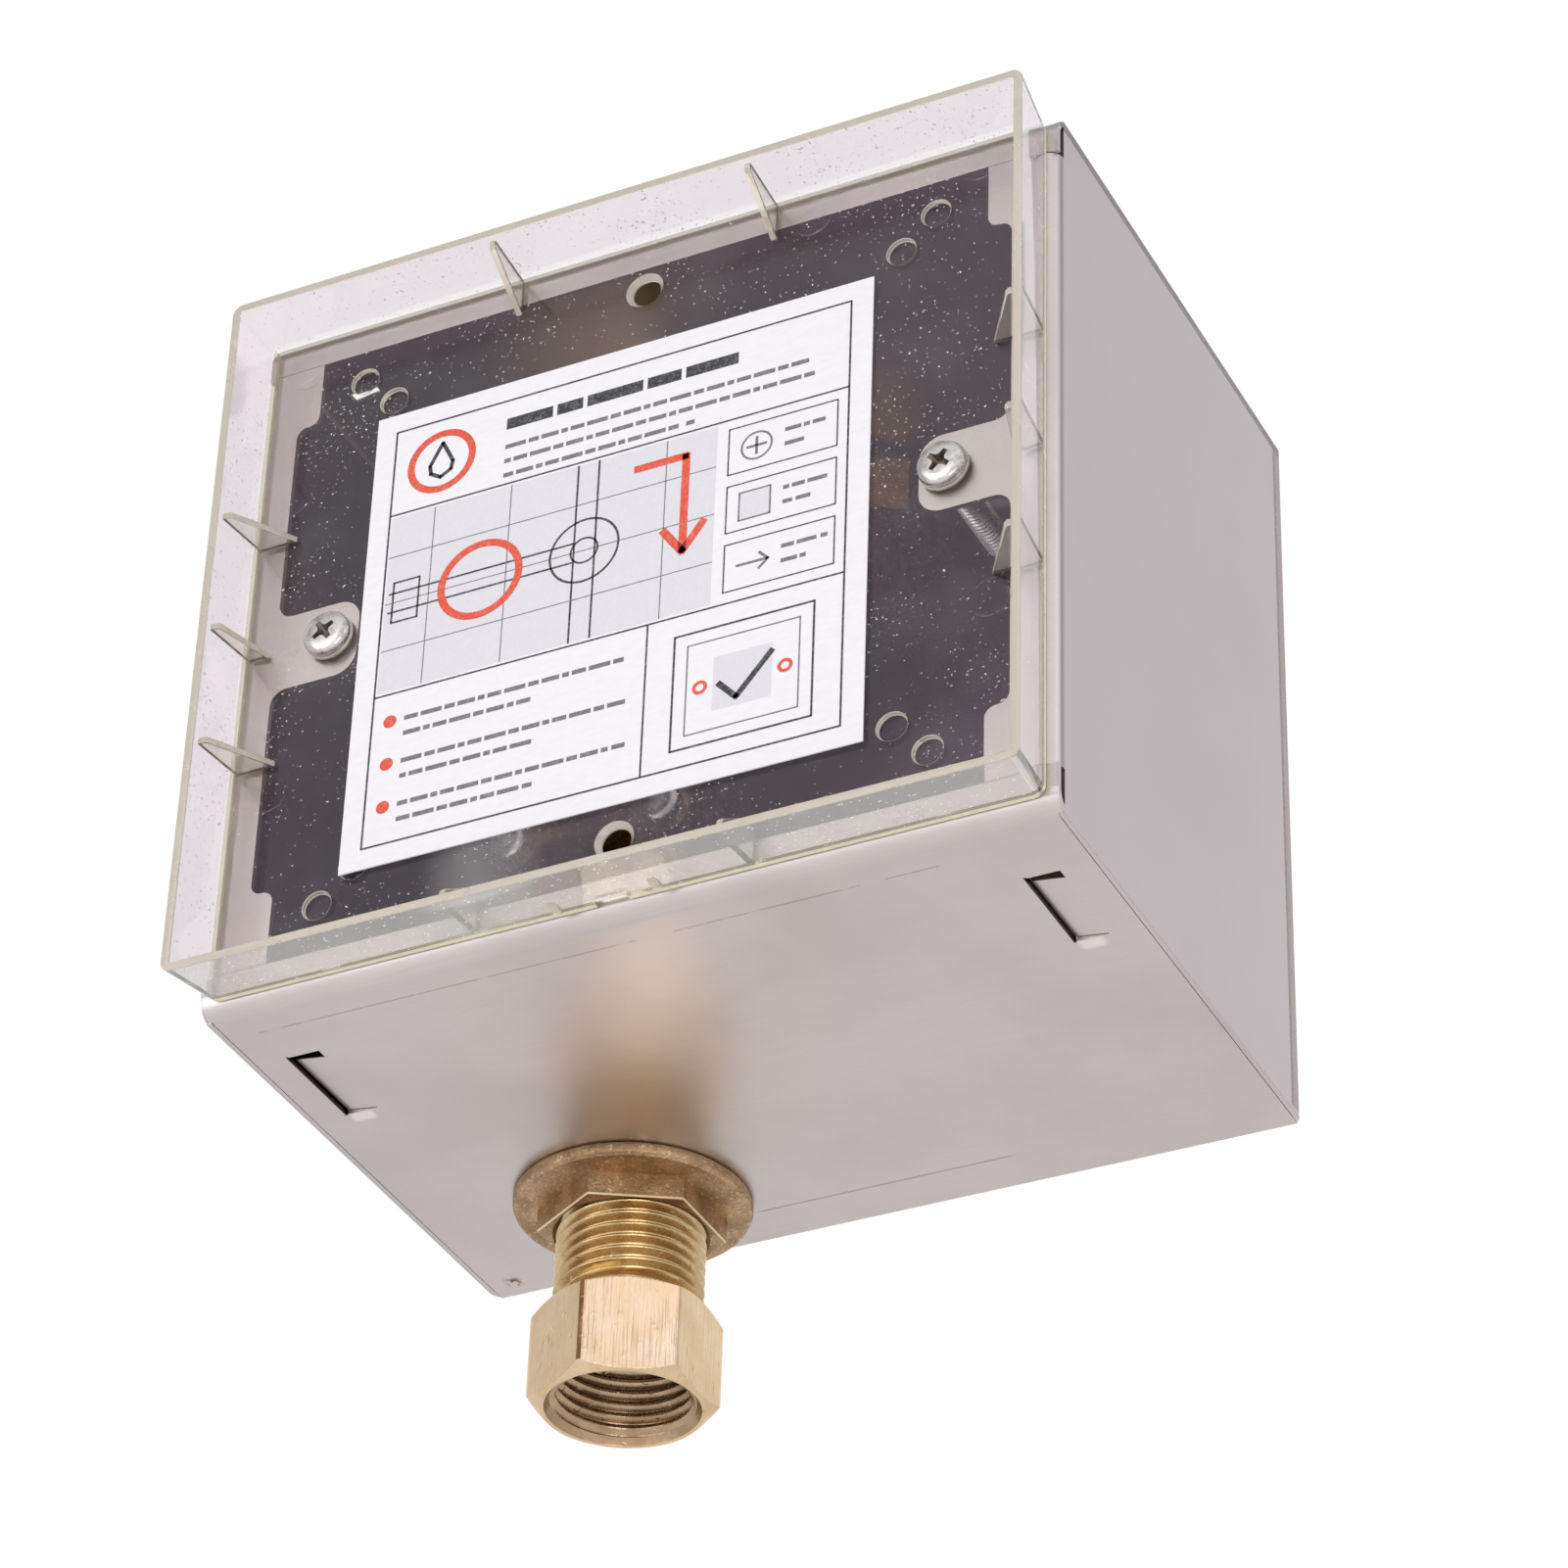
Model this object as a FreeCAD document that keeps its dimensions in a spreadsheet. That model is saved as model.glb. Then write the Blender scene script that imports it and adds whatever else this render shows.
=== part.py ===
import math
import os
import re

import FreeCAD
import Part
import Sketcher
from FreeCAD import Placement, Rotation, Vector

# In-wall automatic urinal flush valve, as it leaves the carton: a stainless
# sheet box with the brass valve in it and a clear tray over its mouth.
# Frame: origin at the centre of the outer back face, X right, Z up, the open
# front of the box faces -Y. Millimetres.

doc = FreeCAD.newDocument("FlushValve")
sheet = doc.addObject("Spreadsheet::Sheet", "Sizes")

# Each row is a name, a number or a formula of earlier names, and what it is.
SIZES = [
    ("over", 1.0, "how far a cutter reaches past the face it opens"),
    # sheet-steel box
    ("box_w", 124.0, "outside width of the box"),
    ("box_h", 114.0, "outside height of the box"),
    ("box_d", 82.5, "outside depth, back face to front flange"),
    ("plate", 0.8, "sheet thickness"),
    ("seam", 0.1, "open seam between two sheets"),
    ("bend_r", 2.0, "outside radius of the wrapper's bends"),
    ("fold_r", 3.0, "outside radius of the front folds of top and bottom"),
    ("flange_w", 6.5, "width of the front flanges"),
    ("tab_reach", 3.5, "how far a corner tab stands past the flange"),
    ("tab_len", 10.8, "height of a corner tab"),
    ("lug_reach", 13.2, "how far a screw lug stands past the flange"),
    ("lug_w", 12.4, "height of a screw lug"),
    ("lug_r", 3.4, "corner radius of the lugs"),
    ("root_r", 2.4, "radius where a lug leaves the flange"),
    ("tab_r", 1.7, "radii of the corner tabs"),
    ("return_w", 7.5, "depth of the return flanges of the back"),
    ("return_gap", 1.0, "return flange from the wrapper's bend"),
    ("hole_r", 10.8, "radius of the pipe holes in top and bottom"),
    ("lance_inset", 8.1, "middle of an anchor lance from the side wall"),
    ("lance_x", "box_w / 2 - lance_inset", "middle of an anchor lance from the centre"),
    ("lance_w", 4.8, "width of an anchor lance"),
    ("lance_len", 15.8, "length of an anchor lance"),
    ("lance_front", 13.5, "front end of a lance behind the front face"),
    ("lance_tilt", 8.0, "how far a lance is pressed in, degrees"),
    ("lance_gap", 1.5, "gap at a lance's front end"),
    # where the pipes stand
    ("pipe_y", -16.8, "pipe axes from the back face"),
    ("outlet_inset", 30.8, "outlet and valve axis from the left wall"),
    ("outlet_x", "outlet_inset - box_w / 2", "outlet and valve axis from the middle"),
    ("inlet_x", 0.0, "inlet axis from the middle"),
    # pipe fittings, G 1/2
    ("thread_r", 10.4775, "major radius of the pipe thread"),
    ("core_r", 9.3155, "minor radius of the pipe thread"),
    ("flow_r", 6.5, "bore radius of the fittings"),
    ("nut_disc_r", 16.75, "flange radius of the lock nut"),
    ("nut_disc_t", 1.9, "flange thickness of the lock nut"),
    ("nut_af", 22.9, "lock nut across flats"),
    ("nut_hex_t", 3.75, "hexagon height of the lock nut"),
    ("nut_edge", 0.7, "rounding of the lock nut's flange"),
    ("stub_len", 18.2, "pipe thread outside the box"),
    ("stub_in", 9.2, "pipe thread inside the box"),
    ("relief_len", 1.3, "run-out groove above the hexagon"),
    ("relief_r", 9.5, "radius of the run-out groove"),
    ("relief_slope", 0.6, "slope from the thread into the run-out groove"),
    ("thread_lead", 1.0, "chamfer that starts the thread inside the box"),
    ("socket_af", 23.0, "hexagon socket across flats"),
    ("socket_len", 14.2, "length of the hexagon socket"),
    ("socket_depth", 11.4, "depth of the inside thread"),
    ("mouth_r", 10.2, "radius of the chamfered mouth"),
    ("gasket_t", 1.5, "thickness of the pipe gaskets"),
    ("gasket_r", 14.5, "outside radius of the pipe gaskets"),
    # valve body
    ("boss_af", 26.0, "hexagon bosses inside the box, across flats"),
    ("boss_len", 9.5, "length of the hexagon bosses"),
    ("boss_floor", 2.2, "floor left under the boss thread"),
    ("neck_r", 10.5, "outside radius of the outlet neck"),
    ("elbow_r", 8.5, "outside radius of the inlet elbow"),
    ("elbow_bend", 12.0, "bend radius of the inlet elbow"),
    ("elbow_bore", 6.2, "bore radius of the inlet elbow"),
    ("blend", 0.01, "how far a straight run reaches into a bend"),
    ("bridge_wall", 3.0, "wall beside the duct between the housings"),
    ("stop_drop", 21.0, "stop and strainer axis below the top of the box"),
    ("stop_z", "box_h / 2 - stop_drop", "height of the stop and strainer axis"),
    ("valve_pitch", 29.4, "diaphragm axis below the stop axis"),
    ("main_z", "stop_z - valve_pitch", "height of the diaphragm axis"),
    ("main_r", 13.0, "outside radius of the diaphragm housing"),
    ("main_bore", 10.6, "bore radius of the diaphragm housing"),
    ("main_back", 5.2, "housing back end from the back face"),
    ("main_face", 29.0, "housing front face from the back face"),
    ("main_floor", 17.6, "floor of the ring chamber from the back face"),
    ("seat_r", 5.2, "bore radius of the main seat"),
    ("seat_wall", 1.7, "wall of the main seat"),
    ("seat_face", 25.0, "main seat from the back face"),
    ("back_duct_r", 4.6, "radius of the duct from the seat to the outlet"),
    ("ear_pitch", 12.15, "bonnet screws from the housing axis, both ways"),
    ("ear_r", 3.9, "radius of the bonnet ears"),
    ("ear_t", 7.0, "thickness of the ears on the housing"),
    ("stop_r", 12.0, "outside radius of the stop housing"),
    ("stop_face", 36.0, "stop housing front face from the back face"),
    ("stop_seat", 24.0, "stop seat from the back face"),
    ("stop_wall", 4.0, "wall round the room behind the stop seat"),
    ("stop_back", 5.0, "wall behind that room"),
    ("stop_seat_t", 2.0, "thickness of the stop seat wall"),
    ("stop_seat_r", 4.6, "bore radius of the stop seat"),
    ("cap_thread_r", 9.5, "radius of the cap thread in the housing"),
    ("duct_r", 2.7, "radius of the duct between the two housings"),
    ("duct_set", 0.2, "duct wall in front of the stop seat"),
    ("run_gap", 0.05, "radial clearance of threads, turning and sliding fits"),
    # bonnet and diaphragm
    ("rim_t", 1.5, "thickness of the clamped diaphragm rim"),
    ("bonnet_t", 4.5, "thickness of the bonnet plate"),
    ("dome_r", 10.4, "outside radius of the bonnet dome"),
    ("dome_len", 3.4, "bonnet dome in front of the plate"),
    ("dome_slope", 1.6, "how much the dome narrows"),
    ("room_r", 9.2, "radius of the pressure room in the bonnet"),
    ("room_len", 3.8, "depth of the pressure room in the bonnet"),
    ("rim_in", 0.4, "diaphragm's rim inside the housing"),
    ("web_gap", 0.6, "sloping web from the seat and from the bore"),
    ("skin", 1.1, "thickness of the diaphragm's middle"),
    ("plate_r", 7.2, "radius of the diaphragm plate"),
    ("plate_t", 2.6, "thickness of the diaphragm plate"),
    ("plate_edge", 0.8, "chamfer of the diaphragm plate"),
    ("plate_eye_r", 2.6, "radius of the recess in the diaphragm plate"),
    ("plate_eye", 1.0, "depth of that recess"),
    ("return_r", 4.4, "coil radius of the diaphragm's spring"),
    ("return_wire", 0.7, "wire of the diaphragm's spring"),
    ("return_turns", 2.5, "turns of the diaphragm's spring"),
    ("lift", 2.4, "lift of the diaphragm"),
    ("screw_head_r", 3.1, "head radius of the bonnet screws"),
    ("screw_head_t", 2.2, "head height of the bonnet screws"),
    ("screw_shank_r", 1.7, "shank radius of the bonnet screws"),
    ("screw_len", 10.5, "length of the bonnet screws"),
    ("screw_edge", 0.7, "rounding of the bonnet screws' heads"),
    ("screw_gap", 0.2, "clearance of the screws' through holes"),
    ("screw_end", 0.4, "blind hole past the end of a bonnet screw"),
    # solenoid
    ("tube_r", 4.6, "outside radius of the guide tube"),
    ("tube_bore", 3.6, "bore radius of the guide tube"),
    ("tube_len", 21.0, "guide tube in front of the dome"),
    ("tube_flange_r", 6.6, "radius of the guide tube's foot"),
    ("tube_flange_t", 1.6, "thickness of the guide tube's foot"),
    ("plunger_len", 12.0, "length of the plunger"),
    ("plunger_foot", 0.3, "foot of the plunger in front of the dome"),
    ("seal_r", 2.4, "radius of the plunger's rubber seal"),
    ("seal_nose", 2.0, "radius of the seal's nose"),
    ("seal_len", 0.7, "length of the seal in the plunger"),
    ("spring_room_r", 1.9, "radius of the spring's room in the plunger"),
    ("spring_room", 5.0, "depth of the spring's room in the plunger"),
    ("pilot_spring_r", 1.4, "coil radius of the plunger's spring"),
    ("pilot_wire", 0.45, "wire of the plunger's spring"),
    ("pilot_turns", 7, "turns of the plunger's spring"),
    ("stroke", 1.2, "stroke of the plunger"),
    ("pilot_r", 0.7, "radius of the pilot hole"),
    ("coil_r", 10.8, "outside radius of the coil"),
    ("coil_len", 16.5, "length of the coil"),
    ("coil_foot", 1.0, "coil from the bonnet's dome"),
    ("coil_end", 1.6, "thickness of the coil's end plates"),
    ("coil_waist", 0.9, "how far the winding lies inside the end plates"),
    ("coil_slope", 0.6, "slope from an end plate to the winding"),
    ("coil_nut_af", 13.0, "coil nut across flats"),
    ("coil_nut_t", 3.2, "height of the coil nut"),
    ("coil_gap", 0.1, "gap between coil and guide tube"),
    # strainer cap and stop spindle
    ("cap_af", 22.0, "strainer cap across flats"),
    ("cap_hex_t", 5.0, "hexagon height of the strainer cap"),
    ("cap_disc_r", 11.6, "flange radius of the strainer cap"),
    ("cap_disc_t", 1.6, "flange thickness of the strainer cap"),
    ("cap_seal_t", 1.0, "thickness of the cap gasket"),
    ("cap_plug", 5.6, "thread of the cap inside the housing"),
    ("cap_lead", 0.5, "chamfer at the end of the cap's thread"),
    ("cap_room", 2.2, "room behind the spindle's collar in the cap"),
    ("cap_room_slope", 1.2, "slope at the end of that room"),
    ("cap_gasket_in", 0.3, "cap gasket inside the cap's flange"),
    ("screen_r", 8.6, "outside radius of the strainer screen"),
    ("screen_wall", 0.5, "wall of the strainer screen"),
    ("screen_end", 1.0, "solid ring at each end of the screen"),
    ("slot_w", 2.6, "width of the screen's slots"),
    ("screen_gap", 0.3, "strainer screen in front of the seat wall"),
    ("spindle_r", 3.0, "radius of the stop spindle"),
    ("spindle_out", 5.0, "stop spindle in front of the cap"),
    ("screw_part_r", 2.0, "radius of the spindle's screw part"),
    ("collar_step", 1.4, "how far the spindle's collar stands out"),
    ("collar_t", 1.0, "thickness of the spindle's collar"),
    ("collar_back", 1.2, "collar's back face in the cap's plug"),
    ("spindle_edge", 0.5, "chamfer of the spindle's front end"),
    ("driver_w", 1.2, "width of the driver slot"),
    ("driver_deep", 2.0, "depth of the driver slot"),
    ("disc_r", 6.6, "radius of the stop disc"),
    ("disc_t", 2.0, "thickness of the stop disc"),
    ("hub_r", 3.4, "radius of the stop disc's nut"),
    ("hub_len", 2.0, "length of the stop disc's nut in front of the disc"),
    ("disc_rim", 0.8, "thickness of the stop disc's rim"),
    ("disc_floor", 0.3, "stop disc behind the end of its thread"),
    ("facing_t", 1.2, "thickness of the disc's rubber facing"),
    ("facing_in", 0.4, "rubber facing inside the disc's edge"),
    ("seat_gap", 0.1, "rubber facing from the seat when shut"),
    ("stop_travel", 2.0, "travel of the stop disc"),
    # clear tray over the front
    ("tray_inset", 1.6, "tray inside the box's side walls"),
    ("tray_drop", 1.65, "tray inside the box's top and bottom"),
    ("tray_w", "box_w - 2 * tray_inset", "tray width at the box"),
    ("tray_h", "box_h - 2 * tray_drop", "tray height at the box"),
    ("tray_flare", 1.15, "how far each tray wall leans out"),
    ("tray_d", 10.9, "depth of the tray"),
    ("tray_wall", 1.3, "wall of the tray"),
    ("tray_floor", 1.1, "floor of the tray"),
    ("tray_corner", 1.6, "corner radius of the tray"),
    ("rib_reach", 6.2, "gusset width at the tray floor"),
    ("rib_t", 1.0, "gusset thickness"),
    ("rib_low", 1.0, "gusset's end behind the tray's rim"),
    ("rib_tip", 0.6, "gusset width at the tray's rim"),
    ("side_rib_z", 19.1, "upper and lower gussets of the side walls"),
    ("end_rib_x", 19.9, "gussets of the top and bottom walls"),
    ("mid_rib_reach", 3.2, "width of the middle gussets"),
    ("spare_inset", 10.9, "spare screw holes from the box's top and bottom"),
    ("spare_z", "box_h / 2 - spare_inset", "spare screw holes above and below the middle"),
    ("spare_r", 2.15, "radius of the spare screw holes"),
    ("spare_sink_r", 2.9, "radius of their countersinks"),
    ("sink_over", 0.4, "countersink past the tray's floor"),
    ("pocket_out", 44.5, "outer blind pockets from the middle, both ways"),
    ("pocket_in", 39.4, "inner blind pockets from the middle, both ways"),
    ("pocket_r", 2.15, "radius of the blind pockets"),
    ("pocket_deep", 0.6, "depth of the blind pockets"),
    ("notch_w", 4.8, "width of the drain notch in the tray"),
    ("notch_d", 1.6, "depth of the drain notch"),
    ("nub_x", 7.2, "snap nubs from the middle of the bottom wall"),
    ("nub_w", 1.2, "width of a snap nub"),
    ("nub_len", 2.4, "length of a snap nub"),
    ("nub_out", 0.7, "how far a snap nub stands out"),
    ("nub_root", 0.2, "snap nub inside the tray's wall"),
    ("nub_front", 4.2, "snap nub's front end from the box"),
    # cover screws, M4
    ("lug_hole", 4.0, "cover screw from the end of its lug"),
    ("screw_x", "box_w / 2 - flange_w - lug_reach + lug_hole", "cover screws from the middle"),
    ("cover_shank_r", 2.0, "radius of the cover screws"),
    ("cover_len", 20.0, "length of the cover screws"),
    ("cover_head_r", 3.5, "head radius of the cover screws"),
    ("cover_head_t", 1.6, "head height of the cover screws"),
    ("head_edge", 0.7, "height of the rounding of their heads"),
    ("head_round", 0.9, "width of the rounding of their heads"),
    ("tip_chamfer", 0.6, "chamfer at their tips"),
    ("ring_r", 3.6, "radius of the raised ring under a cover screw"),
    ("ring_t", 0.5, "height of that ring"),
    ("collar_r", 3.2, "outside radius of the drawn collar on a lug"),
    ("collar_len", 1.8, "length of the drawn collar"),
    # printed sheet in the tray
    ("label_w", 76.9, "width and height of the printed sheet"),
    ("label_t", 0.2, "thickness of the printed sheet"),
    ("label_x", -3.0, "middle of the printed sheet, across"),
    ("label_z", -2.2, "middle of the printed sheet, up"),
]
for row, (alias, number, note) in enumerate(SIZES, 1):
    sheet.set("A%d" % row, note)
    sheet.set("B%d" % row, "=" + number if isinstance(number, str) else str(number))
    sheet.setAlias("B%d" % row, alias)
doc.recompute()
NAMES = {alias for alias, number, note in SIZES}


def size(alias):
    return float(sheet.get(alias))


def formula(text):
    """Expression for the document: every size is looked up in the sheet."""
    return re.sub(r"[a-z_][a-z_0-9]*",
                  lambda m: "Sizes." + m.group() if m.group() in NAMES else m.group(), str(text))


gauge = doc.addObject("App::FeaturePython", "Gauge")
gauge.addProperty("App::PropertyFloat", "Reading")


def value(text):
    """The same expression worked out now, for a sketch's start or to pick an edge."""
    gauge.setExpression("Reading", formula(text))
    gauge.recompute()
    return float(gauge.Reading)


def bind(obj, **props):
    for prop, text in props.items():
        obj.setExpression(prop, formula(text))
    return obj


def place(obj, x="0", y="0", z="0", turn=None):
    obj.Placement = Placement(Vector(0, 0, 0), turn or Rotation())
    for axis, text in (("x", x), ("y", y), ("z", z)):
        obj.setExpression(".Placement.Base." + axis, formula(text))
    return obj


FRONT = Rotation(Vector(1, 0, 0), 90)      # local Z points out of the box mouth
DOWN = Rotation(Vector(1, 0, 0), 180)      # local Z points down


def block(name, lx, ly, lz, x, y, z, turn=None):
    obj = bind(doc.addObject("Part::Box", name), Length=lx, Width=ly, Height=lz)
    return place(obj, x, y, z, turn)


def rod(name, r, length, x, y, z, turn=None):
    obj = bind(doc.addObject("Part::Cylinder", name), Radius=r, Height=length)
    return place(obj, x, y, z, turn)


def cone(name, r_from, r_to, length, x, y, z, turn=None):
    obj = bind(doc.addObject("Part::Cone", name), Radius1=r_from, Radius2=r_to, Height=length)
    return place(obj, x, y, z, turn)


def hexagon(name, across_flats, length, x, y, z, turn=None):
    obj = doc.addObject("Part::Prism", name)
    obj.Polygon = 6
    bind(obj, Circumradius="(%s) / 2 / cos(30)" % across_flats, Height=length)
    spin = Rotation(Vector(0, 0, 1), 30)
    return place(obj, x, y, z, (turn or Rotation()) * spin)


def fuse(name, parts):
    obj = doc.addObject("Part::MultiFuse", name)
    obj.Shapes = parts
    return obj


def cut(name, base, tools):
    for i, tool in enumerate(tools, 1):
        obj = doc.addObject("Part::Cut", name if i == len(tools) else "%s_%d" % (name, i))
        obj.Base, obj.Tool = base, tool
        base = obj
    return obj


def common(name, one, two):
    obj = doc.addObject("Part::Common", name)
    obj.Base, obj.Tool = one, two
    return obj


def rounded(name, base, picks):
    """Fillet of chosen edges; picks are (test on the edge, radius alias)."""
    doc.recompute()
    obj = doc.addObject("Part::Fillet", name)
    obj.Base = base
    chosen = []
    for test, radius in picks:
        r = radius if isinstance(radius, float) else size(radius)
        for i, edge in enumerate(base.Shape.Edges, 1):
            if test(edge):
                chosen.append((i, r, r))
    obj.Edges = chosen
    return obj


def runs_along(edge, axis):
    a, b = edge.Vertexes[0].Point, edge.Vertexes[-1].Point
    d = (b - a)
    return d.Length > 1e-6 and abs(abs(getattr(d, axis)) - d.Length) < 1e-4 * d.Length


def near(edge, **where):
    c = edge.CenterOfMass
    return all(abs(getattr(c, axis) - v) < 0.02 for axis, v in where.items())


PARTS = {}


def keep(name, obj):
    obj.Label = name
    PARTS[name] = obj
    return obj


# Sketched pieces

def plane(body, role):
    return [f for f in body.Origin.OriginFeatures if f.Role == role][0]


def outline(body, name, role, corners):
    """Closed sketch through corners given as two expressions each."""
    sk = body.newObject("Sketcher::SketchObject", name)
    sk.AttachmentSupport = [(plane(body, role), "")]
    sk.MapMode = "FlatFace"
    pts = [Vector(value(u), value(v), 0) for u, v in corners]
    n = len(pts)
    for i in range(n):
        sk.addGeometry(Part.LineSegment(pts[i], pts[(i + 1) % n]), False)
    for i in range(n):
        sk.addConstraint(Sketcher.Constraint("Coincident", i, 2, (i + 1) % n, 1))
    for i, (u, v) in enumerate(corners):
        for kind, text, number, line in (("DistanceX", u, pts[i].x, -2), ("DistanceY", v, pts[i].y, -1)):
            if str(text) == "0":
                sk.addConstraint(Sketcher.Constraint("PointOnObject", i, 1, line))
            else:
                k = sk.addConstraint(Sketcher.Constraint(kind, i, 1, number))
                sk.setExpression("Constraints[%d]" % k, formula(text))
    return sk


def turned(body, name, corners, kind="PartDesign::Revolution"):
    """Revolve or groove of a (radius, height) profile about the body's Z."""
    sk = outline(body, name + "_profile", "XZ_Plane", corners)
    doc.recompute()
    rev = body.newObject(kind, name)
    rev.Profile = sk
    rev.ReferenceAxis = (sk, ["V_Axis"])
    rev.Angle = 360.0
    doc.recompute()
    return rev


def hex_pad(body, name, across_flats, start, length):
    r = "(%s) / 2 / cos(30)" % across_flats
    ring = [("%s * cos(%d)" % (r, a), "%s * sin(%d)" % (r, a)) for a in (30, 90, 150, 210, 270, 330)]
    ring = [("0" if i in (1, 4) else u, v) for i, (u, v) in enumerate(ring)]
    sk = outline(body, name + "_hexagon", "XY_Plane", ring)
    sk.setExpression(".AttachmentOffset.Base.z", formula(start))
    doc.recompute()
    pad = body.newObject("PartDesign::Pad", name)
    pad.Profile = sk
    bind(pad, Length=length)
    doc.recompute()
    return pad


def corner_cut(across_flats, degrees):
    """Profile terms of the cone that chamfers a hexagon's corners: inner and outer radius, drop between."""
    half, far = across_flats + " / 2", across_flats + " / 2 / cos(30) + over"
    return half, far, "tan(%d) * (%s - %s)" % (degrees, far, half)


def new_body(name, x="0", y="0", z="0", turn=None):
    body = doc.addObject("PartDesign::Body", name)
    place(body, x, y, z, turn)
    return keep(name, body)


# Box: wrapper of back, sides and front flanges

inner_h = "(box_h / 2 - plate)"
skin_out = block("wrap_out", "box_w", "box_d", "box_h", "-box_w / 2", "-box_d", "-box_h / 2")
skin_out = rounded("wrap_out_bends", skin_out, [(lambda e: runs_along(e, "z"), "bend_r")])
skin_in = block("wrap_in", "box_w - 2 * plate", "box_d - 2 * plate", "box_h + 2 * over",
                "-box_w / 2 + plate", "-box_d + plate", "-box_h / 2 - over")
skin_in = rounded("wrap_in_bends", skin_in,
                  [(lambda e: runs_along(e, "z"), size("bend_r") - size("plate"))])
tube = cut("wrap_tube", skin_out, [skin_in])

# window between the flanges, which leaves lugs and corner tabs standing
win_w = "(box_w / 2 - flange_w)"
win_h = "(box_h / 2 - flange_w)"
window = block("window", "2 * " + win_w, "4 * plate", "2 * " + win_h,
               "-" + win_w, "-box_d - plate", "-" + win_h)
stays = []
for side, sx in (("l", "-1"), ("r", "1")):
    stays.append(block("lug_" + side, "lug_reach + 2 * over", "6 * plate", "lug_w",
                       "%s * (%s - lug_reach / 2 + over) - lug_reach / 2 - over" % (sx, win_w),
                       "-box_d - 2 * plate", "-lug_w / 2"))
    for end, sz in (("b", "-1"), ("t", "1")):
        stays.append(block("tab_" + side + end, "tab_reach + 2 * over", "6 * plate", "tab_len + 2 * over",
                           "%s * (%s - tab_reach / 2 + over) - tab_reach / 2 - over" % (sx, win_w),
                           "-box_d - 2 * plate",
                           "%s * (%s - tab_len / 2 + over) - tab_len / 2 - over" % (sz, win_h)))
window = cut("window_shape", window, stays)
wx, wz = value(win_w), value(win_h)
lug_tip, tab_tip = wx - size("lug_reach"), wx - size("tab_reach")
tab_end = wz - size("tab_len")


def at_corner(x, z):
    return lambda e: runs_along(e, "y") and abs(abs(e.CenterOfMass.x) - x) < 0.02 \
        and abs(abs(e.CenterOfMass.z) - z) < 0.02


window = rounded("window_rounded", window, [
    (at_corner(lug_tip, size("lug_w") / 2), "lug_r"),
    (at_corner(wx, size("lug_w") / 2), "root_r"),
    (at_corner(tab_tip, tab_end), min(size("tab_r"), size("tab_reach") * 0.48)),
    (at_corner(wx, tab_end), min(size("tab_r"), size("tab_reach") * 0.48)),
])
# the middle of the front wall above and below the window belongs to top and bottom
cuts = [window]
for end, front_z, back_z in (("t", win_h + " - seam", "box_h / 2 - plate - seam"),
                             ("b", "-box_h / 2 - over", "-box_h / 2 - over")):
    cuts.append(block("front_relief_" + end, "box_w + 2 * over", "bend_r + over", "flange_w + over + seam",
                      "-box_w / 2 - over", "-box_d - over", front_z))
    cuts.append(block("back_relief_" + end, "box_w - 2 * plate - seam", "bend_r + over",
                      "over + plate + seam", "-box_w / 2 + plate + seam / 2", "-bend_r", back_z))
wrapper = cut("wrap_windowed", tube, cuts)
returns = []
for end, z, px in (("t", "box_h / 2 - 2 * plate - seam", "inlet_x"),
                   ("b", "-box_h / 2 + plate + seam", "outlet_x")):
    strip = block("return_" + end, "box_w - 2 * bend_r - 2 * return_gap", "return_w - plate / 2", "plate",
                  "-box_w / 2 + bend_r + return_gap", "-return_w", z)
    hole = rod("return_notch_" + end, "nut_disc_r", "3 * plate", px, "pipe_y", z + " - plate")
    returns.append(cut("return_cut_" + end, strip, [hole]))
collars = []
for side, sx in (("l", "-1"), ("r", "1")):
    collars.append(rod("collar_" + side, "collar_r", "collar_len + plate / 2",
                       "%s * screw_x" % sx, "-box_d + plate + collar_len", "0", FRONT))
wrapper = fuse("wrap_joined", [wrapper] + returns + collars)
taps = [rod("tap_" + side, "cover_shank_r + run_gap", "collar_len + 4 * plate",
            "%s * screw_x" % sx, "-box_d + 2 * plate + collar_len", "0", FRONT)
        for side, sx in (("l", "-1"), ("r", "1"))]
keep("box_wrapper", cut("box_wrapper", wrapper, taps))


# Top and bottom: one sheet each, folded at the front, with anchor lances

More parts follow.
